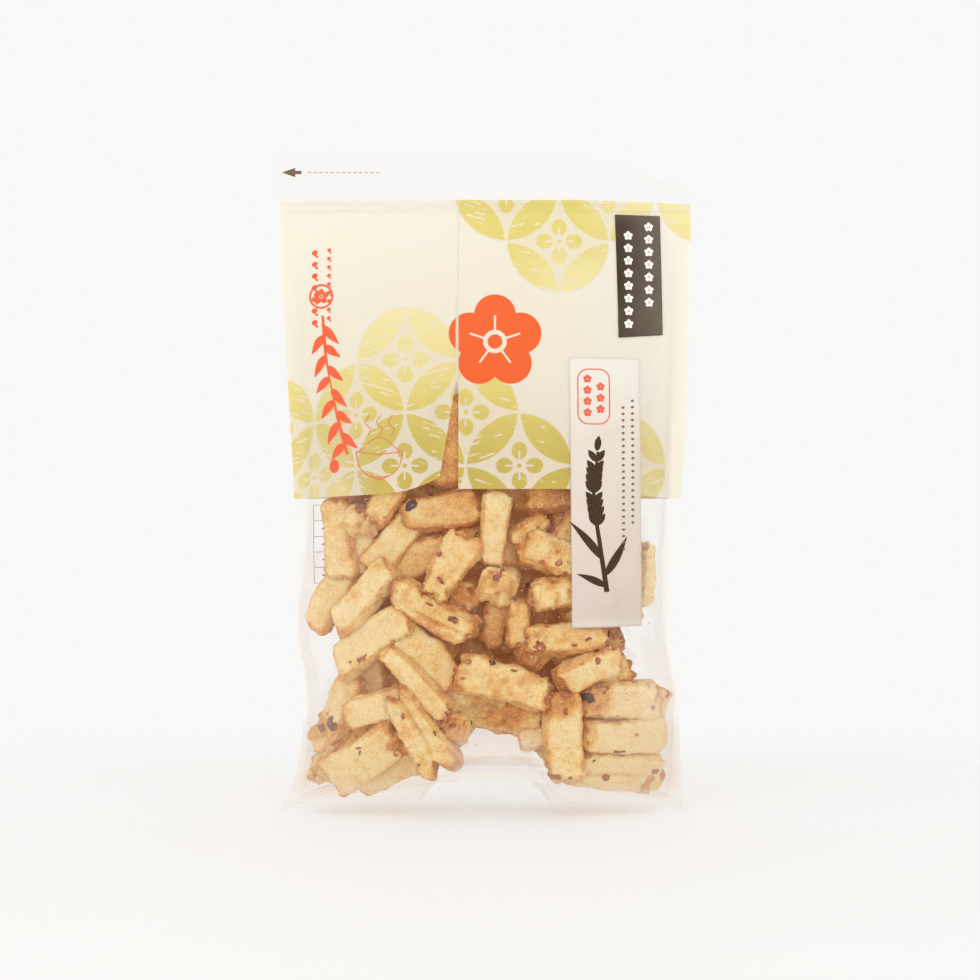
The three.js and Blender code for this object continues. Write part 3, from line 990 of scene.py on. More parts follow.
def crumb_dust(front, stick_points):
    """Specks of crumb that cling to the inside of the front film."""
    rng = np.random.default_rng(71)
    heap = Heap()
    lattice, faces = DUST_LATTICE
    ball = lattice / np.linalg.norm(lattice, axis=1)[:, None]
    for _ in range(DUST_COUNT):
        spot = stick_points[rng.integers(len(stick_points))]
        x = spot[0] + rng.normal(scale=DUST_SPREAD)
        z = spot[2] + rng.normal(scale=DUST_SPREAD)
        if z < DUST_LOW or z > DUST_HIGH or abs(x) > DUST_SIDE:
            continue
        radius = 0.15 + 0.27 * rng.random() ** 3
        y = front.y_at(np.array([x]), np.array([z]), -0.12 - radius)[0]
        points = ball * radius * rng.uniform(0.7, 1.2, 3) + [x, y, z]
        tone = rng.choice([0.0, 0.3, 1.0], p=[0.6, 0.3, 0.1])
        heap.add(points, faces, np.full(len(points), tone))
    return heap


PRESS_CELL = 1.7  # the film is pressed by a map of the sticks with cells of this size
PRESS_LEFT, PRESS_WIDE, PRESS_TALL = -90, 190, 200  # the map's left side and its extent
NO_STICK = -60.0
CLOSEST = 0.45  # the film keeps this far off a stick
SAG_SHARE, SAG_FROM, SAG_MOST = 0.3, 1.6, 4  # the film sags by this share of a wide gap
SAG_BELOW = 190  # above this height it doesn't sag


def nearest_sticks(side, points):
    """A map of how far the sticks reach toward the film, each cell with its neighbours."""
    column = np.round((points[:, 0] - PRESS_LEFT) / PRESS_CELL).astype(int)
    row = np.round(points[:, 2] / PRESS_CELL).astype(int)
    nearest = np.full((int(PRESS_TALL / PRESS_CELL), int(PRESS_WIDE / PRESS_CELL)), NO_STICK)
    rows, columns = nearest.shape
    keep = (row >= 0) & (row < rows) & (column >= 0) & (column < columns)
    np.maximum.at(nearest, (row[keep], column[keep]), side.sign * points[keep, 1])
    spread = nearest.copy()
    for down, right in itertools.product((-1, 0, 1), repeat=2):
        spread = np.maximum(spread, np.roll(nearest, (down, right), (0, 1)))
    at_column = np.clip(np.round((side.x - PRESS_LEFT) / PRESS_CELL).astype(int), 0, columns - 1)
    at_row = np.clip(np.round(side.z / PRESS_CELL).astype(int), 0, rows - 1)
    return spread[at_row, at_column]


def press_film(side, points):
    """Lets the film sag a little between the sticks behind it, and keeps it clear of them."""
    gap = side.out() - nearest_sticks(side, points)
    sag = SAG_SHARE * np.clip(blur(np.clip(gap, 0, 9), 60) - SAG_FROM, 0, SAG_MOST)
    inside = (1 - smooth_step(0.9, 1, np.abs(ACROSS)))[None, :] * (side.z < SAG_BELOW)
    push_out = np.clip(CLOSEST - gap, -6, 2.5)
    wanted = np.where(gap < 8, np.maximum(-sag * inside, push_out * (gap < 6)), -sag * inside)
    side.relief = side.relief + blur(np.maximum(wanted, np.where(gap < 6, push_out, -6)), 6)


# ---- Materials ----

class Shade:
    """Builds the node tree of one material."""

    def __init__(self, name):
        self.material = bpy.data.materials.new(name)
        self.material.use_nodes = True
        self.tree = self.material.node_tree
        self.tree.nodes.clear()
        self.output = self.tree.nodes.new("ShaderNodeOutputMaterial")

    def node(self, kind, inputs=None, **settings):
        node = self.tree.nodes.new("ShaderNode" + kind)
        for key, value in settings.items():
            setattr(node, key, value)
        for key, value in (inputs or {}).items():
            self.put(node.inputs[key], value)
        return node

    def out(self, kind, inputs=None, output=0, **settings):
        """One output of a new node."""
        return self.node(kind, inputs, **settings).outputs[output]

    def put(self, socket, value):
        if isinstance(value, Amount):
            value = value.socket
        if isinstance(value, bpy.types.NodeSocket):
            self.tree.links.new(value, socket)
        else:
            socket.default_value = value

    def here(self):
        return self.out("TexCoord", output="Object")

    def place(self):
        """Metres in the row frame, as x, y and z amounts in millimetres."""
        parts = self.node("SeparateXYZ", {0: self.here()})
        return [Amount(self, parts.outputs[axis]) * 1000 for axis in range(3)]

    def clear(self, colour=(1, 1, 1, 1)):
        return self.out("BsdfTransparent", {"Color": colour})

    def noise(self, size_mm, detail=2.0, stretch=(1, 1, 1), distortion=0.0, rough=0.5):
        mapping = self.node("Mapping", {"Vector": self.here()})
        mapping.inputs["Scale"].default_value = [1000 * part / size_mm for part in stretch]
        return Amount(self, self.out("TexNoise", {
            "Vector": mapping.outputs[0], "Scale": 1.0, "Detail": detail,
            "Distortion": distortion, "Roughness": rough}, "Fac"))

    def cells(self, size_mm):
        return Amount(self, self.out("TexVoronoi", {
            "Vector": self.here(), "Scale": 1000 / size_mm}, "Distance", feature="SMOOTH_F1"))

    def attribute(self, name):
        return Amount(self, self.out("Attribute", output="Fac", attribute_name=name))

    def blend(self, share, first, second):
        """first where share is 0 and second where it is 1; each is a seen colour or a socket."""
        mix = self.node("Mix", data_type="RGBA")
        self.put(mix.inputs[0], share)
        for number, colour in ((6, first), (7, second)):
            self.put(mix.inputs[number], linear(colour) if isinstance(colour, tuple) else colour)
        return mix.outputs[2]

    def bump(self, height, strength, distance_mm):
        return self.out("Bump", {
            "Height": height, "Strength": strength, "Distance": distance_mm * MM})

    def principled(self, colour, roughness, **inputs):
        shader = self.node("BsdfPrincipled", {"Base Color": colour, "Roughness": roughness})
        for key, value in inputs.items():
            self.put(shader.inputs[key.replace("_", " ")], value)
        return shader.outputs[0]

    def mix_shaders(self, share, first, second):
        return self.out("MixShader", {0: share, 1: first, 2: second})

    def finish(self, shader):
        self.tree.links.new(shader, self.output.inputs["Surface"])
        return self.material


class Amount:
    """A number that varies over a surface."""

    def __init__(self, shade, socket):
        self.shade, self.socket = shade, socket

    def math(self, operation, second=None, third=None):
        inputs = {0: self}
        if second is not None:
            inputs[1] = second
        if third is not None:
            inputs[2] = third
        return Amount(self.shade, self.shade.out("Math", inputs, operation=operation))

    def __add__(self, other):
        return self.math("ADD", other)

    def __sub__(self, other):
        return self.math("SUBTRACT", other)

    def __mul__(self, other):
        return self.math("MULTIPLY", other)

    def __truediv__(self, other):
        return self.math("DIVIDE", other)

    def invert(self):
        return self.math("MULTIPLY_ADD", -1.0, 1.0)

    def size(self):
        return self.math("ABSOLUTE")

    def least(self, other):
        return self.math("MINIMUM", other)

    def most(self, other):
        return self.math("MAXIMUM", other)

    def step(self, start, end):
        """0 at start and 1 at end, with a straight ramp between them."""
        return Amount(self.shade, self.shade.out("MapRange", {
            "Value": self, "From Min": start, "From Max": end}))


def length_of(x, z):
    return (x * x + z * z).math("SQRT")


def most_of(amounts):
    """The greatest of several amounts, place by place."""
    return functools.reduce(Amount.most, amounts)


FILM_TINT = (0.998, 0.994, 0.988, 1)
FILM_IOR = 1.45
MOST_SHINE = 0.12
FOLD_X, FOLD_TOP, FOLD_FALL = 4, 23.6, 0.018  # the fold's upper edge, an arch seen through the film
# the most veil at each place: the film's milky mist, with painted shade in the arch and painted
# highlights at the seam and along the fold
SIDE_MIST, RIGHT_MIST, LEFT_MIST = 0.04, 0.07, 0.035
SEAM_MIST_AND_HIGHLIGHT, FOOT_MIST, OILY_MIST = 0.16, 0.12, 0.03
ARCH_MIST_AND_SHADE, FOLD_HIGHLIGHT = 0.34, 0.3


def film_mist(shade, haze):
    """Where the film is milky, with painted light on its veil: a warm low tint for light bounced
    off the crackers, painted shade and highlights near the bottom. The mist's colour, and how much
    of it there is.
    """
    x, _, z = shade.place()
    low = z.step(130, 118)
    above_fold = z + (x - FOLD_X) * (x - FOLD_X) * FOLD_FALL - FOLD_TOP
    at_fold = above_fold.step(0.4, -0.3) * z.step(9, 12)
    # painted light: the veil below the print is warm, for light bounced off the crackers
    colour = shade.blend(low, MIST_HIGH, MIST_WARM_BOUNCE)
    # near the bottom the veil is a darker beige: the film's extra layers and painted shade
    colour = shade.blend(z.step(38, 30), colour, SHADED_MIST_LOW)
    # painted highlight along the fold's upper edge
    colour = shade.blend(at_fold, colour, FOLD_HIGHLIGHT_WHITE)

    patches = shade.noise(22, 3)
    at_side = (x.size().step(38, 66) * SIDE_MIST + x.step(54, 63) * RIGHT_MIST) * low
    at_foot = (x.step(34, 60) * z.step(54, 44)).most(x.step(-52, -66) * z.step(44, 26))
    at_left = x.step(-22, -50) * low * LEFT_MIST
    at_side = (at_side + at_foot * FOOT_MIST) * (patches + 0.5) + at_left
    at_side = at_side * z.step(5, 18)
    # the bottom seam's white: the sealed film's milkiness and a painted highlight
    at_seam = z.step(4.5, 8) * z.step(17, 11) * SEAM_MIST_AND_HIGHLIGHT
    oily = shade.noise(13, 3).step(0.5, 0.68) * low * OILY_MIST
    # in the arch: the film's extra layers and painted shade; along the fold, a painted highlight
    in_arch = above_fold.step(-0.3, 0.4) * z.step(36, 29) * ARCH_MIST_AND_SHADE + at_fold * FOLD_HIGHLIGHT
    in_arch = in_arch * (x - FOLD_X).size().step(20, 12)
    return colour, patches * haze + haze * 0.5 + at_side + at_seam + oily + in_arch


def clear_film(name, haze=0.006, gloss=0.3, bump_mm=0.25):
    """Thin clear film: see-through, glossy at a slant, milky at the sides and the bottom seam, with
    painted highlights at the seam and the fold and painted shade near the bottom.
    """
    shade = Shade(name)
    z = shade.place()[2]
    crinkle = shade.noise(14, 3, distortion=0.6) * 0.7 + shade.noise(3.5, 2) * 0.2
    normal = shade.bump(crinkle, z.step(236, 226) * 0.5, bump_mm)
    fresnel = shade.out("Fresnel", {"IOR": FILM_IOR, "Normal": normal})
    shine_share = (Amount(shade, fresnel) * gloss).least(MOST_SHINE)
    shine = shade.out("BsdfAnisotropic", {
        "Color": (1, 1, 1, 1), "Roughness": shade.noise(9, 2) * 0.1 + 0.06, "Normal": normal})
    mist, veil = film_mist(shade, haze)
    dull = shade.out("BsdfDiffuse", {"Color": mist})
    body = shade.mix_shaders(veil, shade.clear(FILM_TINT), dull)
    return shade.finish(shade.mix_shaders(shine_share, body, shine))


# The printed layer, all in millimetres on the front as seen from the front
CIRCLE_RADIUS = 20.3
UPPER_ANCHOR = (28.7, 220.0)
UPPER_CIRCLES = ((0, 0), (-1, 1), (1, 1), (3, 1))
LOWER_ANCHOR = (-30.2, 174.2)
LOWER_CIRCLES = ((0, 0), (-1, -1), (1, -1), (-3, -1), (-2, -2), (0, -2), (2, -2), (4, -2),
                 (-3, -3), (-1, -3), (1, -3), (3, -3))
PRINT_TOP = 236.8
PRINT_TOP_FROM, PRINT_TOP_FALL = 38, 0.04  # the top edge falls a little toward the right
LEFT_PANEL_LOW = 121  # its lower edge at the left, which rises toward the slit
LEFT_PANEL_SLOPE, LEFT_PANEL_TURN, LEFT_PANEL_CURVE = 0.06, -38, 0.0111
SIDE_FROM = 30  # past this the print bends round the pouch's sides
LEFT_WRAP, RIGHT_WRAP, LEFT_FALL = 0.0042, 0.0025, 0.0028
SLIT_X = -9.9  # the right side of the slit between the two printed panels
SLIT_TOP_WIDTH, SLIT_STEP_WIDTH, SLIT_LOW_WIDTH = 0.35, 0.75, 5.9
SLIT_PALE_Z, SLIT_OPEN_Z = 199, 164.5
SLIT_PALE = 0.75
PANEL_GAP = 2.8  # how far the right panel's pattern is set off by the slit
CREST = (4.0, 181.0)
PETAL_OFF, PETAL_RADIUS = 10.2, 8.0
PRINT_LOW = 121  # the back print's lower edge
SOFT = 0.1  # half the width over which an inked edge fades
LEAF_FADE_FROM, LEAF_FADE_TO = 0.45, 0.75  # how far inside a circle its leaves begin
SCRATCH_STEP, SCRATCH_LENGTH, SCRATCH_HALF = 1.9, 6.0, 0.42


def circle_field(x, z, anchor, circles):
    """Linked circles: the leaves that fall and that rise to the right, the flowers, the discs."""
    r = CIRCLE_RADIUS
    dx, dz = x - anchor[0], z - anchor[1]
    # in axes turned by 45 degrees the circles' middles lie on a square lattice
    pitch = r * math.sqrt(2)
    turned_a = ((dx + dz) * math.sqrt(0.5) / pitch + 0.5).math("FRACT") - 0.5
    turned_b = ((dz - dx) * math.sqrt(0.5) / pitch + 0.5).math("FRACT") - 0.5
    a, b = turned_a.size() * pitch, turned_b.size() * pitch
    # inside a neighbour's circle, beyond one side of the cell, lies a leaf
    falling, rising = [
        length_of(off.invert() + (pitch - 1), other).step(r - LEAF_FADE_FROM, r - LEAF_FADE_TO)
        for off, other in ((a, b), (b, a))]
    # a flower of four petals with a slit in each, round a small ring
    p = (turned_a + turned_b).size() * (pitch * math.sqrt(0.5))
    q = (turned_a - turned_b).size() * (pitch * math.sqrt(0.5))
    far, near = p.most(q), p.least(q)
    petal = length_of((far - 5.7) / 3.3, near / 2.95).step(1.03, 0.96)
    slit = (near.step(0.5, 0.25) * far.step(5.6, 5.2)).invert()
    flower = (petal * slit).most(length_of(p, q).step(0.95, 0.75))
    inside = most_of([length_of(dx - i * r, dz - j * r).step(r + SOFT, r - SOFT)
                      for i, j in circles])
    return falling, rising, flower, inside


def worn_ink(shade, x, z, slope, shift):
    """Brush scratches through the ink: thin broken lines along a slope, more at the left."""
    turn = math.radians(slope)
    c, s = math.cos(turn), math.sin(turn)
    along, across = x * c + z * s, z * c - x * s
    rows = (across + shade.noise(9, 2) * 1.6) / SCRATCH_STEP
    row = rows.math("FLOOR")
    off = (rows.math("FRACT") - 0.5).size() * SCRATCH_STEP
    place = shade.out("CombineXYZ", {
        "X": along / SCRATCH_LENGTH, "Y": row * 7.31 + shift, "Z": shift})
    streak = shade.out("TexNoise", {"Vector": place, "Scale": 1.0, "Detail": 2.0}, "Fac")
    amount = Amount(shade, streak) + (shade.noise(13, 2) - 0.5) * 0.25
    amount = amount - x.step(-25, 5) * 0.06
    return (amount.step(0.5, 0.6) * SCRATCH_HALF - off).step(0.0, 0.12)


def crest_field(x, z):
    """A plain plum blossom of five round petals."""
    dx, dz = x - CREST[0], z - CREST[1]
    reach = length_of(dx, dz)
    petals, spokes = [], []
    for number in range(5):
        angle = math.radians(90 + 72 * number)
        c, s = math.cos(angle), math.sin(angle)
        petal = length_of(dx - PETAL_OFF * c, dz - PETAL_OFF * s)
        petals.append(petal.step(PETAL_RADIUS + SOFT, PETAL_RADIUS - SOFT))
        along, aside = dx * c + dz * s, (dz * c - dx * s).size()
        spokes.append(aside.step(0.5, 0.3) * along.step(4.2, 4.4) * along.step(10.2, 10.0))
    flower = most_of(petals) * reach.step(4.4, 4.6) * most_of(spokes).invert()
    return flower.most(reach.step(2.9, 2.7))


def left_fall(x, z):
    """How much lower the printed layer hangs toward the left side, more so low down."""
    off = (x * -1.0 - SIDE_FROM).most(0.0)
    return off * off * LEFT_FALL * (z.step(155, 125) * 0.3 + 1)


def round_the_side(x):
    """The print bends round the pouch's sides, so it looks narrower there."""
    left, right = (x * -1.0 - SIDE_FROM).most(0.0), (x - SIDE_FROM).most(0.0)
    return x - left * left * LEFT_WRAP + right * right * RIGHT_WRAP


def print_field(x, z):
    """Where the front's ink is, and the pale slit between its left and right panels."""
    past = (x - LEFT_PANEL_TURN).most(0.0)
    left_low = (x + 71) * LEFT_PANEL_SLOPE + past * past * LEFT_PANEL_CURVE + LEFT_PANEL_LOW
    edge = z.step(SLIT_PALE_Z + 2, SLIT_PALE_Z - 2) * -SLIT_STEP_WIDTH
    edge = edge + (SLIT_X - SLIT_TOP_WIDTH)
    low = z.step(SLIT_OPEN_Z, 129) * -SLIT_LOW_WIDTH + edge
    left_panel = (z - left_low).step(-SOFT, SOFT) * (low - x).step(-SOFT, SOFT)
    right_low = (x - 32).most(0.0) * (-3.8 / 41.5) + 124.8
    right_panel = (z - right_low).step(-SOFT, SOFT) * (x - SLIT_X).step(-SOFT, SOFT)
    panels = left_panel.most(right_panel)
    slit = z.step(SLIT_OPEN_Z - 2, SLIT_OPEN_Z + 2) * SLIT_PALE
    return panels, panels.invert() * slit


def painted_light_on_leaves(x, z):
    """How far the leaves' green is paled by painted light: toward the right and the left side, and
    near the top.
    """
    right = (x.step(42, 58) * 0.6).most(x.step(34, 58) * z.step(212, 230) * 0.9)
    upper = x.step(6, 30) * z.step(222, 208) * z.step(184, 190) * 0.8
    left = x.step(2, -14) * z.step(157, 188) * 0.9
    side = x.step(-40, -54) * (z.step(150, 126) * 0.35 + 0.35)
    return right.most(upper).most(left.most(side) * z.step(208, 198))


def leaf_print(shade, x, z, colour, clusters):
    """The green linked circles over the cream, each cluster on its own anchor."""
    across = round_the_side(x)
    falling_worn = worn_ink(shade, x, z, -17, 0.0)
    rising_worn = worn_ink(shade, x, z, 17, 41.0)
    height = (z.step(133, 162) + (shade.noise(18, 3) - 0.5) * 0.5).least(1.0).most(0.0)
    tone = shade.blend(height, LEAF_GREEN, LEAF_LIT)
    # painted light: the leaves are paled where light washes over them
    tone = shade.blend(painted_light_on_leaves(x, z), tone, LEAF_PAINTED_LIGHT)
    for anchor, circles, panel_gap in clusters:
        u = across - (x - SLIT_X).step(-SOFT, SOFT) * panel_gap
        falling, rising, flower, inside = circle_field(u, z + left_fall(x, z), anchor, circles)
        colour = shade.blend(inside * 0.9, colour, STAR_PALE)
        green = (falling * falling_worn.invert()).most(rising * rising_worn.invert())
        green = green.most(flower * (falling_worn * 0.5).invert()) * inside
        colour = shade.blend(green * 0.95, colour, tone)
    return colour


def print_ink(name, slit, clusters):
    """The printed layer: cream with green linked circles, opaque ink on clear film."""
    shade = Shade(name)
    x, _, z = shade.place()
    colour = shade.blend(shade.noise(30, 3), CREAM, CREAM_LIT)
    colour = shade.blend(z.step(175, 236) * 0.8, colour, CREAM_TOP)
    # painted light: the cream is lightened toward the right, where less lamp light reaches it
    colour = shade.blend(x.step(20, 66) * 0.8, colour, CREAM_TOP)
    colour = leaf_print(shade, x, z, colour, clusters)
    top = (x - PRINT_TOP_FROM).most(0.0) * PRINT_TOP_FALL + z
    field = top.step(PRINT_TOP + SOFT, PRINT_TOP - SOFT)
    if slit:
        colour = shade.blend(crest_field(x, z), colour, CREST_ORANGE)
        panels, pale = print_field(x, z)
        colour = shade.blend(pale, colour, SLIT_CREAM)
        field = field * panels.most(pale)
    else:
        field = field * (z - PRINT_LOW).step(-SOFT, SOFT)
    ink = shade.principled(colour, 0.45, Specular_IOR_Level=0.12)
    glow = shade.out("BsdfTranslucent", {"Color": colour})
    ink = shade.mix_shaders(0.28, ink, glow)
    return shade.finish(shade.mix_shaders(field * 0.97, shade.clear(), ink))


def paper(shade, tone, roughness):
    """Ends a material as paper or dry ink of this tone, with the faintest grain."""
    normal = shade.bump(shade.noise(0.7, 2), 0.2, 0.05)
    return shade.finish(shade.principled(tone, roughness, Normal=normal,
                                         Specular_IOR_Level=0.15))


def flat_ink(name, colour, other=None):
    """Printed ink of one colour with faint unevenness."""
    shade = Shade(name)
    other = other or tuple(min(255, value + 9) for value in colour)
    return paper(shade, shade.blend(shade.noise(2.2, 3), colour, other), 0.45)


def light_paper():
    """The pale sticker's paper with painted light: lighter at the top, which faces up to the lamps,
    darker and patchy lower down, and a little lighter along its lower edge.
    """
    shade = Shade("sticker_light_paper")
    z = shade.place()[2]
    low, high = LIGHT_STICKER["low"], LIGHT_STICKER["high"]
    painted_light_height = (shade.noise(17, 3) - 0.5) * 30 + z
    # painted light and shade: the paper goes from lit at the top to shaded lower down
    tone = shade.blend(painted_light_height.step(low, high - 25), STICKER_LOW, STICKER_MIDDLE)
    tone = shade.blend(painted_light_height.step(high - 28, high - 4), tone, STICKER_TOP)
    tone = shade.blend(z.step(low + 4, low + 1) * 0.35, tone, STICKER_TOP)
    return paper(shade, tone, 0.6)


def dark_paper():
    """The dark sticker's glossy paper with a painted sheen: lighter in soft patches where it bends,
    near the top and more at the right.
    """
    shade = Shade("sticker_dark_paper")
    x, _, z = shade.place()
    # painted sheen, laid into the paper's colour
    sheen = shade.noise(16, 2, stretch=(1, 1, 0.6)).step(0.4, 0.62) * 0.25
    sheen = sheen + x.step(53, 68) * 0.8 + z.step(226, 230) * 0.25
    return paper(shade, shade.blend(sheen.least(1.0), STICKER_DARK, STICKER_PAINTED_SHEEN), 0.4)


SKIN_GLOW = 0.055


def cracker_skin():
    """Fried rice dough: pale flat faces, browner edges that are partly painted shade, flecks, pits
    and fine grain.
    """
    shade = Shade("cracker_skin")
    toast_and_shade = shade.attribute("toast_and_shade")
    patch = shade.noise(6.5, 4, rough=0.6)
    fine = shade.noise(1.3, 5, rough=0.72)
    grain = shade.noise(0.8, 3, rough=0.65)
    # the browning values carry painted shade on the sides and in the hollows, as well as the
    # toasted colour
    toast_and_shade_level = toast_and_shade + (patch - 0.5) * 0.8 + (fine - 0.5)
    colour = shade.blend(toast_and_shade_level.step(0.0, 0.34), CRACKER_PALE, CRACKER_GOLD)
    colour = shade.blend(toast_and_shade_level.step(0.34, 0.74), colour, CRACKER_BROWN)
    colour = shade.blend(toast_and_shade_level.step(0.74, 1.2), colour, CRACKER_DEEP)
    colour = shade.blend(grain.step(0.54, 0.7) * 0.45, colour, CRUMB_PALE)
    colour = shade.blend(grain.step(0.44, 0.3) * 0.5, colour, CRUMB_BROWN)
    fleck = shade.noise(1.7, 2, rough=0.7, distortion=0.8).step(0.66, 0.72)
    fleck = fleck * (toast_and_shade * 0.5 + shade.noise(8, 2)).step(0.48, 0.62)
    colour = shade.blend(fleck * 0.7, colour, FRECKLE_BROWN)
    pits = shade.cells(1.5).step(0.1, 0.5)
    normal = shade.bump(pits * 0.3 + fine * 1.1 + grain * 0.6, 1.0, 0.8)
    # painted glow: a weak warm emission stands for light that has come through the dough and keeps
    # its shaded sides warm
    return shade.finish(shade.principled(
        colour, fine * 0.25 + 0.4, Normal=normal, Specular_IOR_Level=0.4,
        Subsurface_Weight=0.4, Subsurface_Scale=3 * MM, Subsurface_Radius=(1.0, 0.8, 0.6),
        Emission_Color=linear(GLOW_WARM), Emission_Strength=SKIN_GLOW))


def nut_skin():
    """Chopped almond: reddish skin on some sides, tan or burnt on others; the tan also colours the
    patches of painted shade at the front.
    """
    shade = Shade("almond_skin")
    tone = shade.attribute("tone") + (shade.noise(1.6, 3) - 0.5)
    streak = shade.noise(0.8, 3, stretch=(1, 1, 0.3))
    colour = shade.blend(tone.step(0.05, 0.25), NUT_BURNT, NUT_SKIN)
    colour = shade.blend(tone.step(0.62, 0.9), colour, NUT_TAN)
    colour = shade.blend(streak * 0.3, colour, NUT_STREAK)
    return shade.finish(shade.principled(colour, 0.4, Normal=shade.bump(streak, 0.5, 0.2)))


TABLE_FADE, TABLE_BACK = 120, 230  # where the table begins to fade, and its far edge
TABLE_GLOW, TABLE_GLOW_SHARE = 1.0, 0.5  # a lit table keeps the shadow under the pouch light


def table_top():
    """White table that fades out toward its far edge."""
    shade = Shade("table_white")
    y = shade.place()[1]
    tone = shade.blend(shade.noise(90, 2), TABLE_WHITE, TABLE_LIT)
    lit = shade.out("Emission", {"Color": tone, "Strength": TABLE_GLOW})
    top = shade.principled(tone, 0.6, Specular_IOR_Level=0.1)
    top = shade.mix_shaders(TABLE_GLOW_SHARE, top, lit)
    return shade.finish(shade.mix_shaders(y.step(TABLE_FADE, TABLE_BACK), top, shade.clear()))


# ---- Printed marks and stickers, draped on the film ----

PRINT_LIFT, MARK_LIFT = -0.2, -0.08  # the printed layers lie just inside the film
HEADER_LIFT = 0.05
LONGEST_STEP = 1.5
SHEET_STEP = 0.002  # marks of one sheet that cross don't lie at one height


def close_steps(path, widths):
    """The same path and widths with no step longer than the longest."""
    path, widths = np.asarray(path, float), np.asarray(widths, float)
    steps = np.linalg.norm(np.diff(path, axis=0), axis=1)
    at = [0.0]
    for number, step in enumerate(steps):
        parts = max(1, math.ceil(step / LONGEST_STEP))
        at.extend(number + (k + 1) / parts for k in range(parts))
    places = np.arange(len(path))
    points = np.stack([np.interp(at, places, path[:, axis]) for axis in range(2)], 1)
    return points, np.interp(at, places, widths)


class Marks:
    """Flat shapes gathered into one sheet that follows the film."""

    def __init__(self, side, lift):
        self.side, self.lift, self.count = side, lift, 0
        self.points, self.faces = [], []

    def add(self, flat, faces):
        flat = np.asarray(flat, float)
        height = self.lift + SHEET_STEP * (len(self.points) % 7)
        y = self.side.y_at(flat[:, 0], flat[:, 1], height)
        self.points.append(np.stack([flat[:, 0], y, flat[:, 1]], 1))
        self.faces.append(np.asarray(faces) + self.count)
        self.count += len(flat)

    def disc(self, x, z, half_x, half_z, turn=0.0, point=0.0):
        """An ellipse, or a drop with its point along its own x when point is above 0."""
        angles = np.linspace(0, 2 * math.pi, 21)[:-1]
        rim = np.stack([np.cos(angles), np.sin(angles)], 1)
        rim[:, 1] *= 1 - point * np.clip(rim[:, 0], 0, 1) ** 2
        rim = rim * [half_x, half_z]
        c, s = math.cos(turn), math.sin(turn)
        rim = rim @ np.array([[c, s], [-s, c]])
        rings = [rim * share + [x, z] for share in (1.0, 0.66, 0.33, 0.04)]
        count = len(rim)
        faces = []
        for ring in range(3):
            for k in range(count):
                a, b = ring * count + k, ring * count + (k + 1) % count
                faces.append([a, b, b + count, a + count])
        self.add(np.concatenate(rings), faces)

    def stroke(self, path, widths):
        """A brush stroke along points, with one width or a width at each."""
        path, widths = close_steps(path, np.broadcast_to(widths, len(path)))
        ahead = np.gradient(path, axis=0)
        ahead /= np.linalg.norm(ahead, axis=1)[:, None]
        aside = np.stack([-ahead[:, 1], ahead[:, 0]], 1) * widths[:, None] / 2
        points = np.concatenate([path - aside, path, path + aside])
        n = len(path)
        faces = [[k + row * n, k + 1 + row * n, k + 1 + (row + 1) * n, k + (row + 1) * n]
                 for row in (0, 1) for k in range(n - 1)]
        self.add(points, faces)

    def ring(self, x, z, radius, width):
        angles = np.linspace(0, 2 * math.pi, 49)
        path = np.stack([x + radius * np.cos(angles), z + radius * np.sin(angles)], 1)
        self.stroke(path, width)

    def blossom(self, x, z, radius):
        """Five round petals about a small middle."""
        for number in range(5):
            angle = math.radians(90 + 72 * number)
            self.disc(x + radius * 0.58 * math.cos(angle), z + radius * 0.58 * math.sin(angle),
                      radius * 0.36, radius * 0.36)
        self.disc(x, z, radius * 0.16, radius * 0.16)

    def leaf(self, x, z, length, width, turn):
        """A brush-drawn leaf that starts at a point and tapers away from it."""
        share = np.linspace(0, 1, 12)
        way = np.array([math.cos(turn), math.sin(turn)])
        sag = np.array([-way[1], way[0]]) * 0.12 * length
        path = np.array([x, z]) + np.outer(share * length, way) + np.outer(share**2, sag)
        self.stroke(path, width * (np.sin(math.pi * share**0.7) + 0.06))

    def piece(self, name, material):
        return make_piece(name, np.concatenate(self.points), np.concatenate(self.faces), material)


def curve_path(points, count=24):
    """A smooth path through a few points."""
    points = np.asarray(points, float)
    places = np.linspace(0, 1, len(points))
    at = np.linspace(0, 1, count)
    return np.stack([through_knots(list(zip(places, points[:, axis])), at)
                     for axis in range(2)], 1)


def red_marks(front):
    """At the left of the front: columns of dots, a small ringed blossom and a bamboo spray."""
    marks = Marks(front, MARK_LIFT)
    for x, top, many, apart, size in ((-65.6, 216.0, 7, 4.5, 0.95), (-60.0, 217.0, 9, 3.3, 0.65)):
        for number in range(many):
            z = top - number * apart
            marks.disc(x, z, size * 1.25, size, turn=0.5)
            marks.disc(x + 0.8 * size, z - 1.5 * size, size * 0.8, size * 0.45, turn=-0.6)
    marks.ring(-63.0, 199.0, 4.4, 0.75)
    marks.blossom(-63.0, 199.0, 3.1)
    stalk = curve_path([(-62.4, 191.5), (-61.0, 175.0), (-57.2, 156.0), (-52.4, 138.0)], 40)
    marks.stroke(stalk, 0.9 + 0.35 * np.sin(np.linspace(0, 9, 40)))
    for number in range(12):
        x, z = stalk[3 + 3 * number]
        side = -1 if number % 2 else 1
        turn = math.radians(-90 + side * (34 + 6 * (number % 3)))
        marks.leaf(x, z, 9.4 - 0.8 * (number % 3), 3.0, turn)
    marks.disc(-57.5, 133.5, 1.9, 2.6)
    marks.piece("print_red", flat_ink("ink_red", MARK_RED, MARK_RED_LIT))


DRAWING_MIDDLE = (-40.0, 134.0)


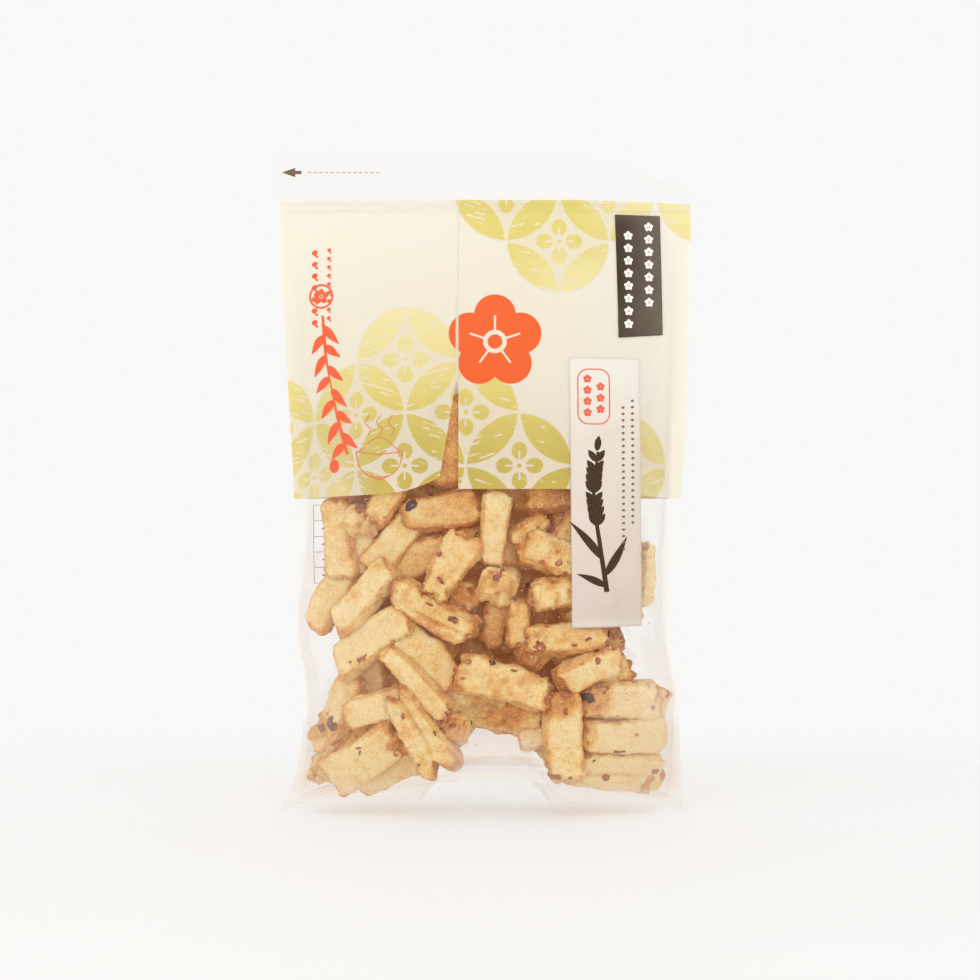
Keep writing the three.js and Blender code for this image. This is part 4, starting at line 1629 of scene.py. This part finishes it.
def line_drawing(front):
    """A small outline drawing of a steaming bowl on the left panel."""
    marks = Marks(front, MARK_LIFT)
    # each line's points about the bowl's middle, how many points it is drawn with, and its width
    bowl = [(-9, 5), (-7.5, -1), (-3.5, -4.2), (3.5, -4.2), (7.5, -1), (9, 5)]
    lines = [(bowl, 30, 0.35),
             ([(-9, 5), (0, 4), (9, 5)], 20, 0.35),
             ([(-8, 5), (0, 10.5), (8, 5)], 24, 0.3),
             ([(-3.4, -4.4), (0, -5.6), (3.4, -4.4)], 12, 0.5)]
    for off in (-4.5, 0, 4.5):
        lines.append(([(off, 11), (off + 1.2, 13.5), (off - 1, 16), (off + 0.6, 19)], 16, 0.3))
    for points, count, width in lines:
        marks.stroke(curve_path(np.array(points) + DRAWING_MIDDLE, count), width)
    marks.piece("print_drawing", flat_ink("ink_drawing", DRAWING_RED))


RULED_LEFT, RULED_RIGHT, RULED_HIGH, RULED_LOW = -66.5, 58.5, 118.5, 88.0
RULED_SPLIT = 30  # width of the table's left column
RULE_WIDTH, DASH_HIGH, DASH_STEP = 0.22, 0.7, 2.6


def back_table(back):
    """A plain ruled table on the back, with dashes where words would stand."""
    rules = Marks(back, MARK_LIFT)
    left, right, split = RULED_LEFT, RULED_RIGHT, RULED_LEFT + RULED_SPLIT
    heights = np.linspace(RULED_HIGH, RULED_LOW, 6)
    for z in heights:
        rules.stroke([(left, z), (right, z)], RULE_WIDTH)
    for x in (left, split, right):
        rules.stroke([(x, RULED_HIGH), (x, RULED_LOW)], RULE_WIDTH)
    rng = np.random.default_rng(81)
    for z in (heights[:-1] + heights[1:]) / 2:
        for start, end in ((left + 3, split - 3), (split + 3, right - 3)):
            reach = start + (end - start) * rng.uniform(0.55, 1)
            for x in np.arange(start, reach, DASH_STEP):
                rules.stroke([(x, z), (x + rng.uniform(1.2, 2.0), z)], DASH_HIGH)
    rules.piece("print_table", flat_ink("ink_table", RULE_GREY))


def header_marks(front):
    """A tear arrow at the top left with a row of plain dashes after it."""
    z = 247.2
    arrow = Marks(front, HEADER_LIFT)
    arrow.stroke([(-73.2, z), (-75.8, z), (-78.2, z)], [3.6, 1.9, 0.1])
    arrow.stroke([(-70.8, z), (-72.0, z), (-73.3, z)], 1.3)
    arrow.piece("print_arrow", flat_ink("ink_arrow", ARROW_BROWN))
    dashes = Marks(front, HEADER_LIFT)
    for number in range(13):
        x = -68.4 + number * 2.2
        dashes.stroke([(x, z), (x + 0.7, z), (x + 1.3, z)], [0.45, 0.5, 0.45])
    dashes.piece("print_dashes", flat_ink("ink_dashes", DASH_GREY))


STICKER_LIFT, STICKER_THICK = 0.08, 0.16
STICKER_MARK_LIFT = STICKER_LIFT + STICKER_THICK + 0.08
STICKER_COLUMNS, STICKER_ROW = 26, 1.1
# "rise" is the slope of the lower and of the upper edge
DARK_STICKER = {"middle": 59.6, "low": 183.5, "high": 230.6, "width": 17.4, "lean": -0.022,
                "rise": (0.08, -0.03)}
LIGHT_STICKER = {"middle": 46.2, "low": 72.6, "high": 174.8, "width": 27.2, "lean": -0.006,
                 "rise": (0, 0)}


def grid_rim(rows, columns):
    """The border points of a grid stored row after row, in order round it."""
    last = columns - 1
    return [*range(columns),
            *(columns * row + last for row in range(1, rows)),
            *(columns * (rows - 1) + column for column in range(last - 1, -1, -1)),
            *(columns * row for row in range(rows - 2, 0, -1))]


def sticker(name, node, shape, front, material):
    """A thin paper sticker that follows the film, with its own rim."""
    low, high, width = shape["low"], shape["high"], shape["width"]
    columns, rows = STICKER_COLUMNS, int((high - low) / STICKER_ROW)
    side, up = np.meshgrid(np.linspace(-0.5, 0.5, columns), np.linspace(0, 1, rows))
    low_rise, high_rise = shape["rise"]
    z = low + (high - low) * up + width * side * (low_rise * (1 - up) + high_rise * up)
    x = shape["middle"] + width * side + shape["lean"] * (z - (low + high) / 2)
    outer, inner = [np.stack([x, front.y_at(x, z, lift), z], -1).reshape(-1, 3)
                    for lift in (STICKER_LIFT + STICKER_THICK, STICKER_LIFT)]
    count = columns * rows
    faces = [*grid_faces(rows, columns), *(grid_faces(rows, columns, True) + count)]
    rim = grid_rim(rows, columns)
    for a, b in zip(rim, rim[1:] + rim[:1]):
        faces.append([b, a, a + count, b + count])
    piece = make_piece(name, np.concatenate([outer, inner]), faces, material, node=node)
    for face in piece.data.polygons[-len(rim):]:
        face.use_smooth = False


def dark_sticker_marks(front):
    """Two columns of small cream blossoms."""
    marks = Marks(front, STICKER_MARK_LIFT)
    for x, top, many in ((55.4, 222.5, 8), (63.4, 226.0, 7)):
        for number in range(many):
            marks.blossom(x, top - number * 4.9, 1.9)
    marks.piece("sticker_dark_marks", flat_ink("ink_cream", STICKER_CREAM))


STAMP_X, STAMP_LOW, STAMP_HIGH, STAMP_HALF, STAMP_CORNER = 41.6, 149.5, 170.5, 6.1, 4


def red_stamp(front):
    """A rounded frame with two columns of blossoms at the top of the pale sticker."""
    red = Marks(front, STICKER_MARK_LIFT)
    left, right = STAMP_X - STAMP_HALF + STAMP_CORNER, STAMP_X + STAMP_HALF - STAMP_CORNER
    low, high = STAMP_LOW + STAMP_CORNER, STAMP_HIGH - STAMP_CORNER
    path = []
    for number, (x, z) in enumerate(((right, high), (left, high), (left, low), (right, low))):
        for angle in np.linspace(0, math.pi / 2, 9) + number * math.pi / 2:
            path.append((x + STAMP_CORNER * math.cos(angle), z + STAMP_CORNER * math.sin(angle)))
    red.stroke([*path, path[0]], 0.42)
    for dx, top, many in ((-2.4, 166.8, 4), (2.6, 163.8, 3)):
        for number in range(many):
            red.blossom(STAMP_X + dx, top - 4.3 * number, 1.75)
    red.piece("sticker_light_red", flat_ink("ink_sticker_red", STICKER_RED))


def brushed_ear(front):
    """An ear of grain on a brushed stalk down the pale sticker."""
    ink = Marks(front, STICKER_MARK_LIFT)
    stalk = curve_path([(46.2, 86.0), (43.6, 104.0), (41.4, 122.0), (43.0, 139.0)], 40)
    ink.stroke(stalk, np.linspace(2.0, 0.9, 40))
    for number in range(9):
        x, z = stalk[18 + 2 * number + number // 4]
        for side in (-1, 1):
            turn = math.radians(90 + side * 36)
            ink.disc(x + 2.7 * math.cos(turn), z + 2.9 * math.sin(turn), 2.7, 1.25, turn, 0.75)
    ink.disc(43.1, 142.2, 2.9, 1.3, math.radians(82), 0.75)
    for x, z, length, width, turn in ((44.6, 98, 19, 2.9, 124), (45.3, 92, 17, 3.1, 52),
                                      (46.0, 88, 12, 2.6, 150)):
        ink.leaf(x, z, length, width, math.radians(turn))
    ink.piece("sticker_light_ink", flat_ink("ink_brush", BRUSH_BROWN, BRUSH_LIT))


def light_sticker_marks(front):
    red_stamp(front)
    brushed_ear(front)
    grey = Marks(front, STICKER_MARK_LIFT)
    for x, low, high in ((52.9, 102.0, 156.0), (56.6, 112.0, 161.0)):
        for z in np.arange(low, high, 2.45):
            grey.disc(x, z, 0.62, 0.5)
    grey.piece("sticker_light_dots", flat_ink("ink_dots", STICKER_GREY))


# ---- Film pieces ----

def film_pieces(front, back):
    """Both films, which with the bottom fold take the place of the CAD pouch."""
    film = clear_film("clear_film")
    rows, columns = front.x.shape
    first = make_piece("film_front", front.points().reshape(-1, 3),
                       grid_faces(rows, columns), film, node="pouch")
    make_piece("film_back", back.points().reshape(-1, 3), grid_faces(rows, columns, True), film,
               node="pouch")


def print_pieces(front, back):
    """The printed layers, just inside each film."""
    clusters = ((LOWER_ANCHOR, LOWER_CIRCLES, PANEL_GAP), (UPPER_ANCHOR, UPPER_CIRCLES, 0))
    inks = {"front": print_ink("print_front_ink", True, clusters),
            "back": print_ink("print_back_ink", False, clusters[:1])}
    for name, side in (("front", front), ("back", back)):
        points = side.points(lift=PRINT_LIFT)[PRINT_ROWS]
        make_piece("print_" + name, points.reshape(-1, 3),
                   grid_faces(*points.shape[:2], name == "back"), inks[name])


FLOOR_ROWS = 41
WRINKLE_HIGH, WRINKLE_WIDE = 0.8, 7


def floor_piece(front, back):
    """The bottom fold, from the front seam to the back seam."""
    share = np.linspace(-1, 1, FLOOR_ROWS)[:, None]
    front_seam, back_seam = front.points()[0], back.points()[0]
    y = front_seam[None, :, 1] + (back_seam - front_seam)[None, :, 1] * (share + 1) / 2
    x = np.broadcast_to(front_seam[None, :, 0], y.shape)
    seam = front_seam[None, :, 2]
    edge = smooth_step(0.9, 1.0, np.abs(share))
    z = floor_height(x, np.broadcast_to(share, y.shape)) * (1 - edge) + seam * edge
    at_seal = np.abs(ACROSS)[None, :] > 1
    across = np.stack([x, y * 0.5, np.zeros_like(y)], -1)
    wrinkle = WRINKLE_HIGH * np.abs(Lumps(91)(across, WRINKLE_WIDE)) * (1 - share ** 2)
    points = np.stack([x, y, np.where(at_seal, seam, z + wrinkle)], -1)
    make_piece("film_floor", points.reshape(-1, 3), grid_faces(*x.shape, True),
               clear_film("floor_film", haze=0.015, bump_mm=0.4), node="pouch")


SEAM_ROWS, SEAM_LIFT = 4, 0.05


def seam_pieces(front, back):
    """The sealed band along the bottom edge, whiter than the rest."""
    seal = clear_film("sealed_film", haze=0.05, gloss=0.6)
    for name, side in (("front", front), ("back", back)):
        points = side.points(lift=SEAM_LIFT)[:SEAM_ROWS]
        make_piece("seam_" + name, points.reshape(-1, 3),
                   grid_faces(*points.shape[:2], name == "back"), seal)


# ---- Stage ----

CAMERA_DISTANCE = 800
CAMERA_X, CAMERA_Z = 2.1, 124.4
VIEW_WIDTH = 379.6  # millimetres across the picture at the pouch's middle plane
SENSOR = 36
TABLE_REACH = 4000
LIGHT_AIM = (0, 0, 0.12)
# each light's place and diameter in metres, and its power
LIGHTS = {"left": ((-0.85, -1.1, 0.75), 0.6, 2.8),
          "right": ((0.8, -1.3, 0.4), 0.8, 1.4),
          "front": ((0.05, -1.6, 0.3), 0.7, 2.6)}
SKY, SKY_STRENGTH = (1.0, 0.995, 0.99, 1), 0.945


def make_camera():
    data = bpy.data.cameras.new("camera")
    data.sensor_width = SENSOR
    data.lens = SENSOR * CAMERA_DISTANCE / VIEW_WIDTH
    camera = add_object("camera", data)
    camera.location = (CAMERA_X * MM, -CAMERA_DISTANCE * MM, CAMERA_Z * MM)
    camera.rotation_euler = (math.radians(90), 0, 0)
    bpy.context.scene.camera = camera


def make_floor():
    mesh = bpy.data.meshes.new("table")
    side, back = TABLE_REACH * MM, TABLE_BACK * MM
    mesh.from_pydata([(-side, -side, 0), (side, -side, 0), (side, back, 0), (-side, back, 0)],
                     [], [(0, 1, 2, 3)])
    mesh.materials.append(table_top())
    floor = add_object("table", mesh)
    floor.location.z = CAD_BOX[0].z


def area_light(name, place, size, power):
    """A round light aimed at the pouch, without a reflection of its own."""
    data = bpy.data.lights.new(name, "AREA")
    data.shape = "DISK"
    data.size = size
    data.energy = power
    light = add_object(name, data)
    light.location = place
    light.rotation_euler = (Vector(LIGHT_AIM) - Vector(place)).to_track_quat("-Z", "Y").to_euler()
    light.visible_glossy = False


def make_lights():
    world = bpy.data.worlds.new("studio")
    world.use_nodes = True
    background = world.node_tree.nodes["Background"]
    background.inputs["Color"].default_value = SKY
    background.inputs["Strength"].default_value = SKY_STRENGTH
    bpy.context.scene.world = world
    for name, (place, size, power) in LIGHTS.items():
        area_light(name, place, size, power)
    bpy.context.scene.view_settings.view_transform = "Standard"


# ---- Put together ----

make_camera()
make_floor()
make_lights()

front = FilmSide(-1, 21)
back = FilmSide(1, 22)
heaps, nuts = make_sticks()
stick_points = np.concatenate([heap.all_points() for heap in heaps.values()])
for side in (front, back):
    press_film(side, stick_points)
    side.fix()

skin = cracker_skin()
for kind, heap in heaps.items():
    heap.piece("sticks_" + kind, skin, "toast_and_shade")
nuts.piece("almond_bits_and_shade_patches", nut_skin(), "tone")
crumb_dust(front, stick_points[stick_points[:, 1] < 0]).piece("crumb_dust", skin, "toast_and_shade")

film_pieces(front, back)
floor_piece(front, back)
seam_pieces(front, back)
print_pieces(front, back)
red_marks(front)
line_drawing(front)
header_marks(front)
back_table(back)
sticker("sticker_dark", "label_dark", DARK_STICKER, front, dark_paper())
sticker("sticker_light", "label_light", LIGHT_STICKER, front, light_paper())
dark_sticker_marks(front)
light_sticker_marks(front)
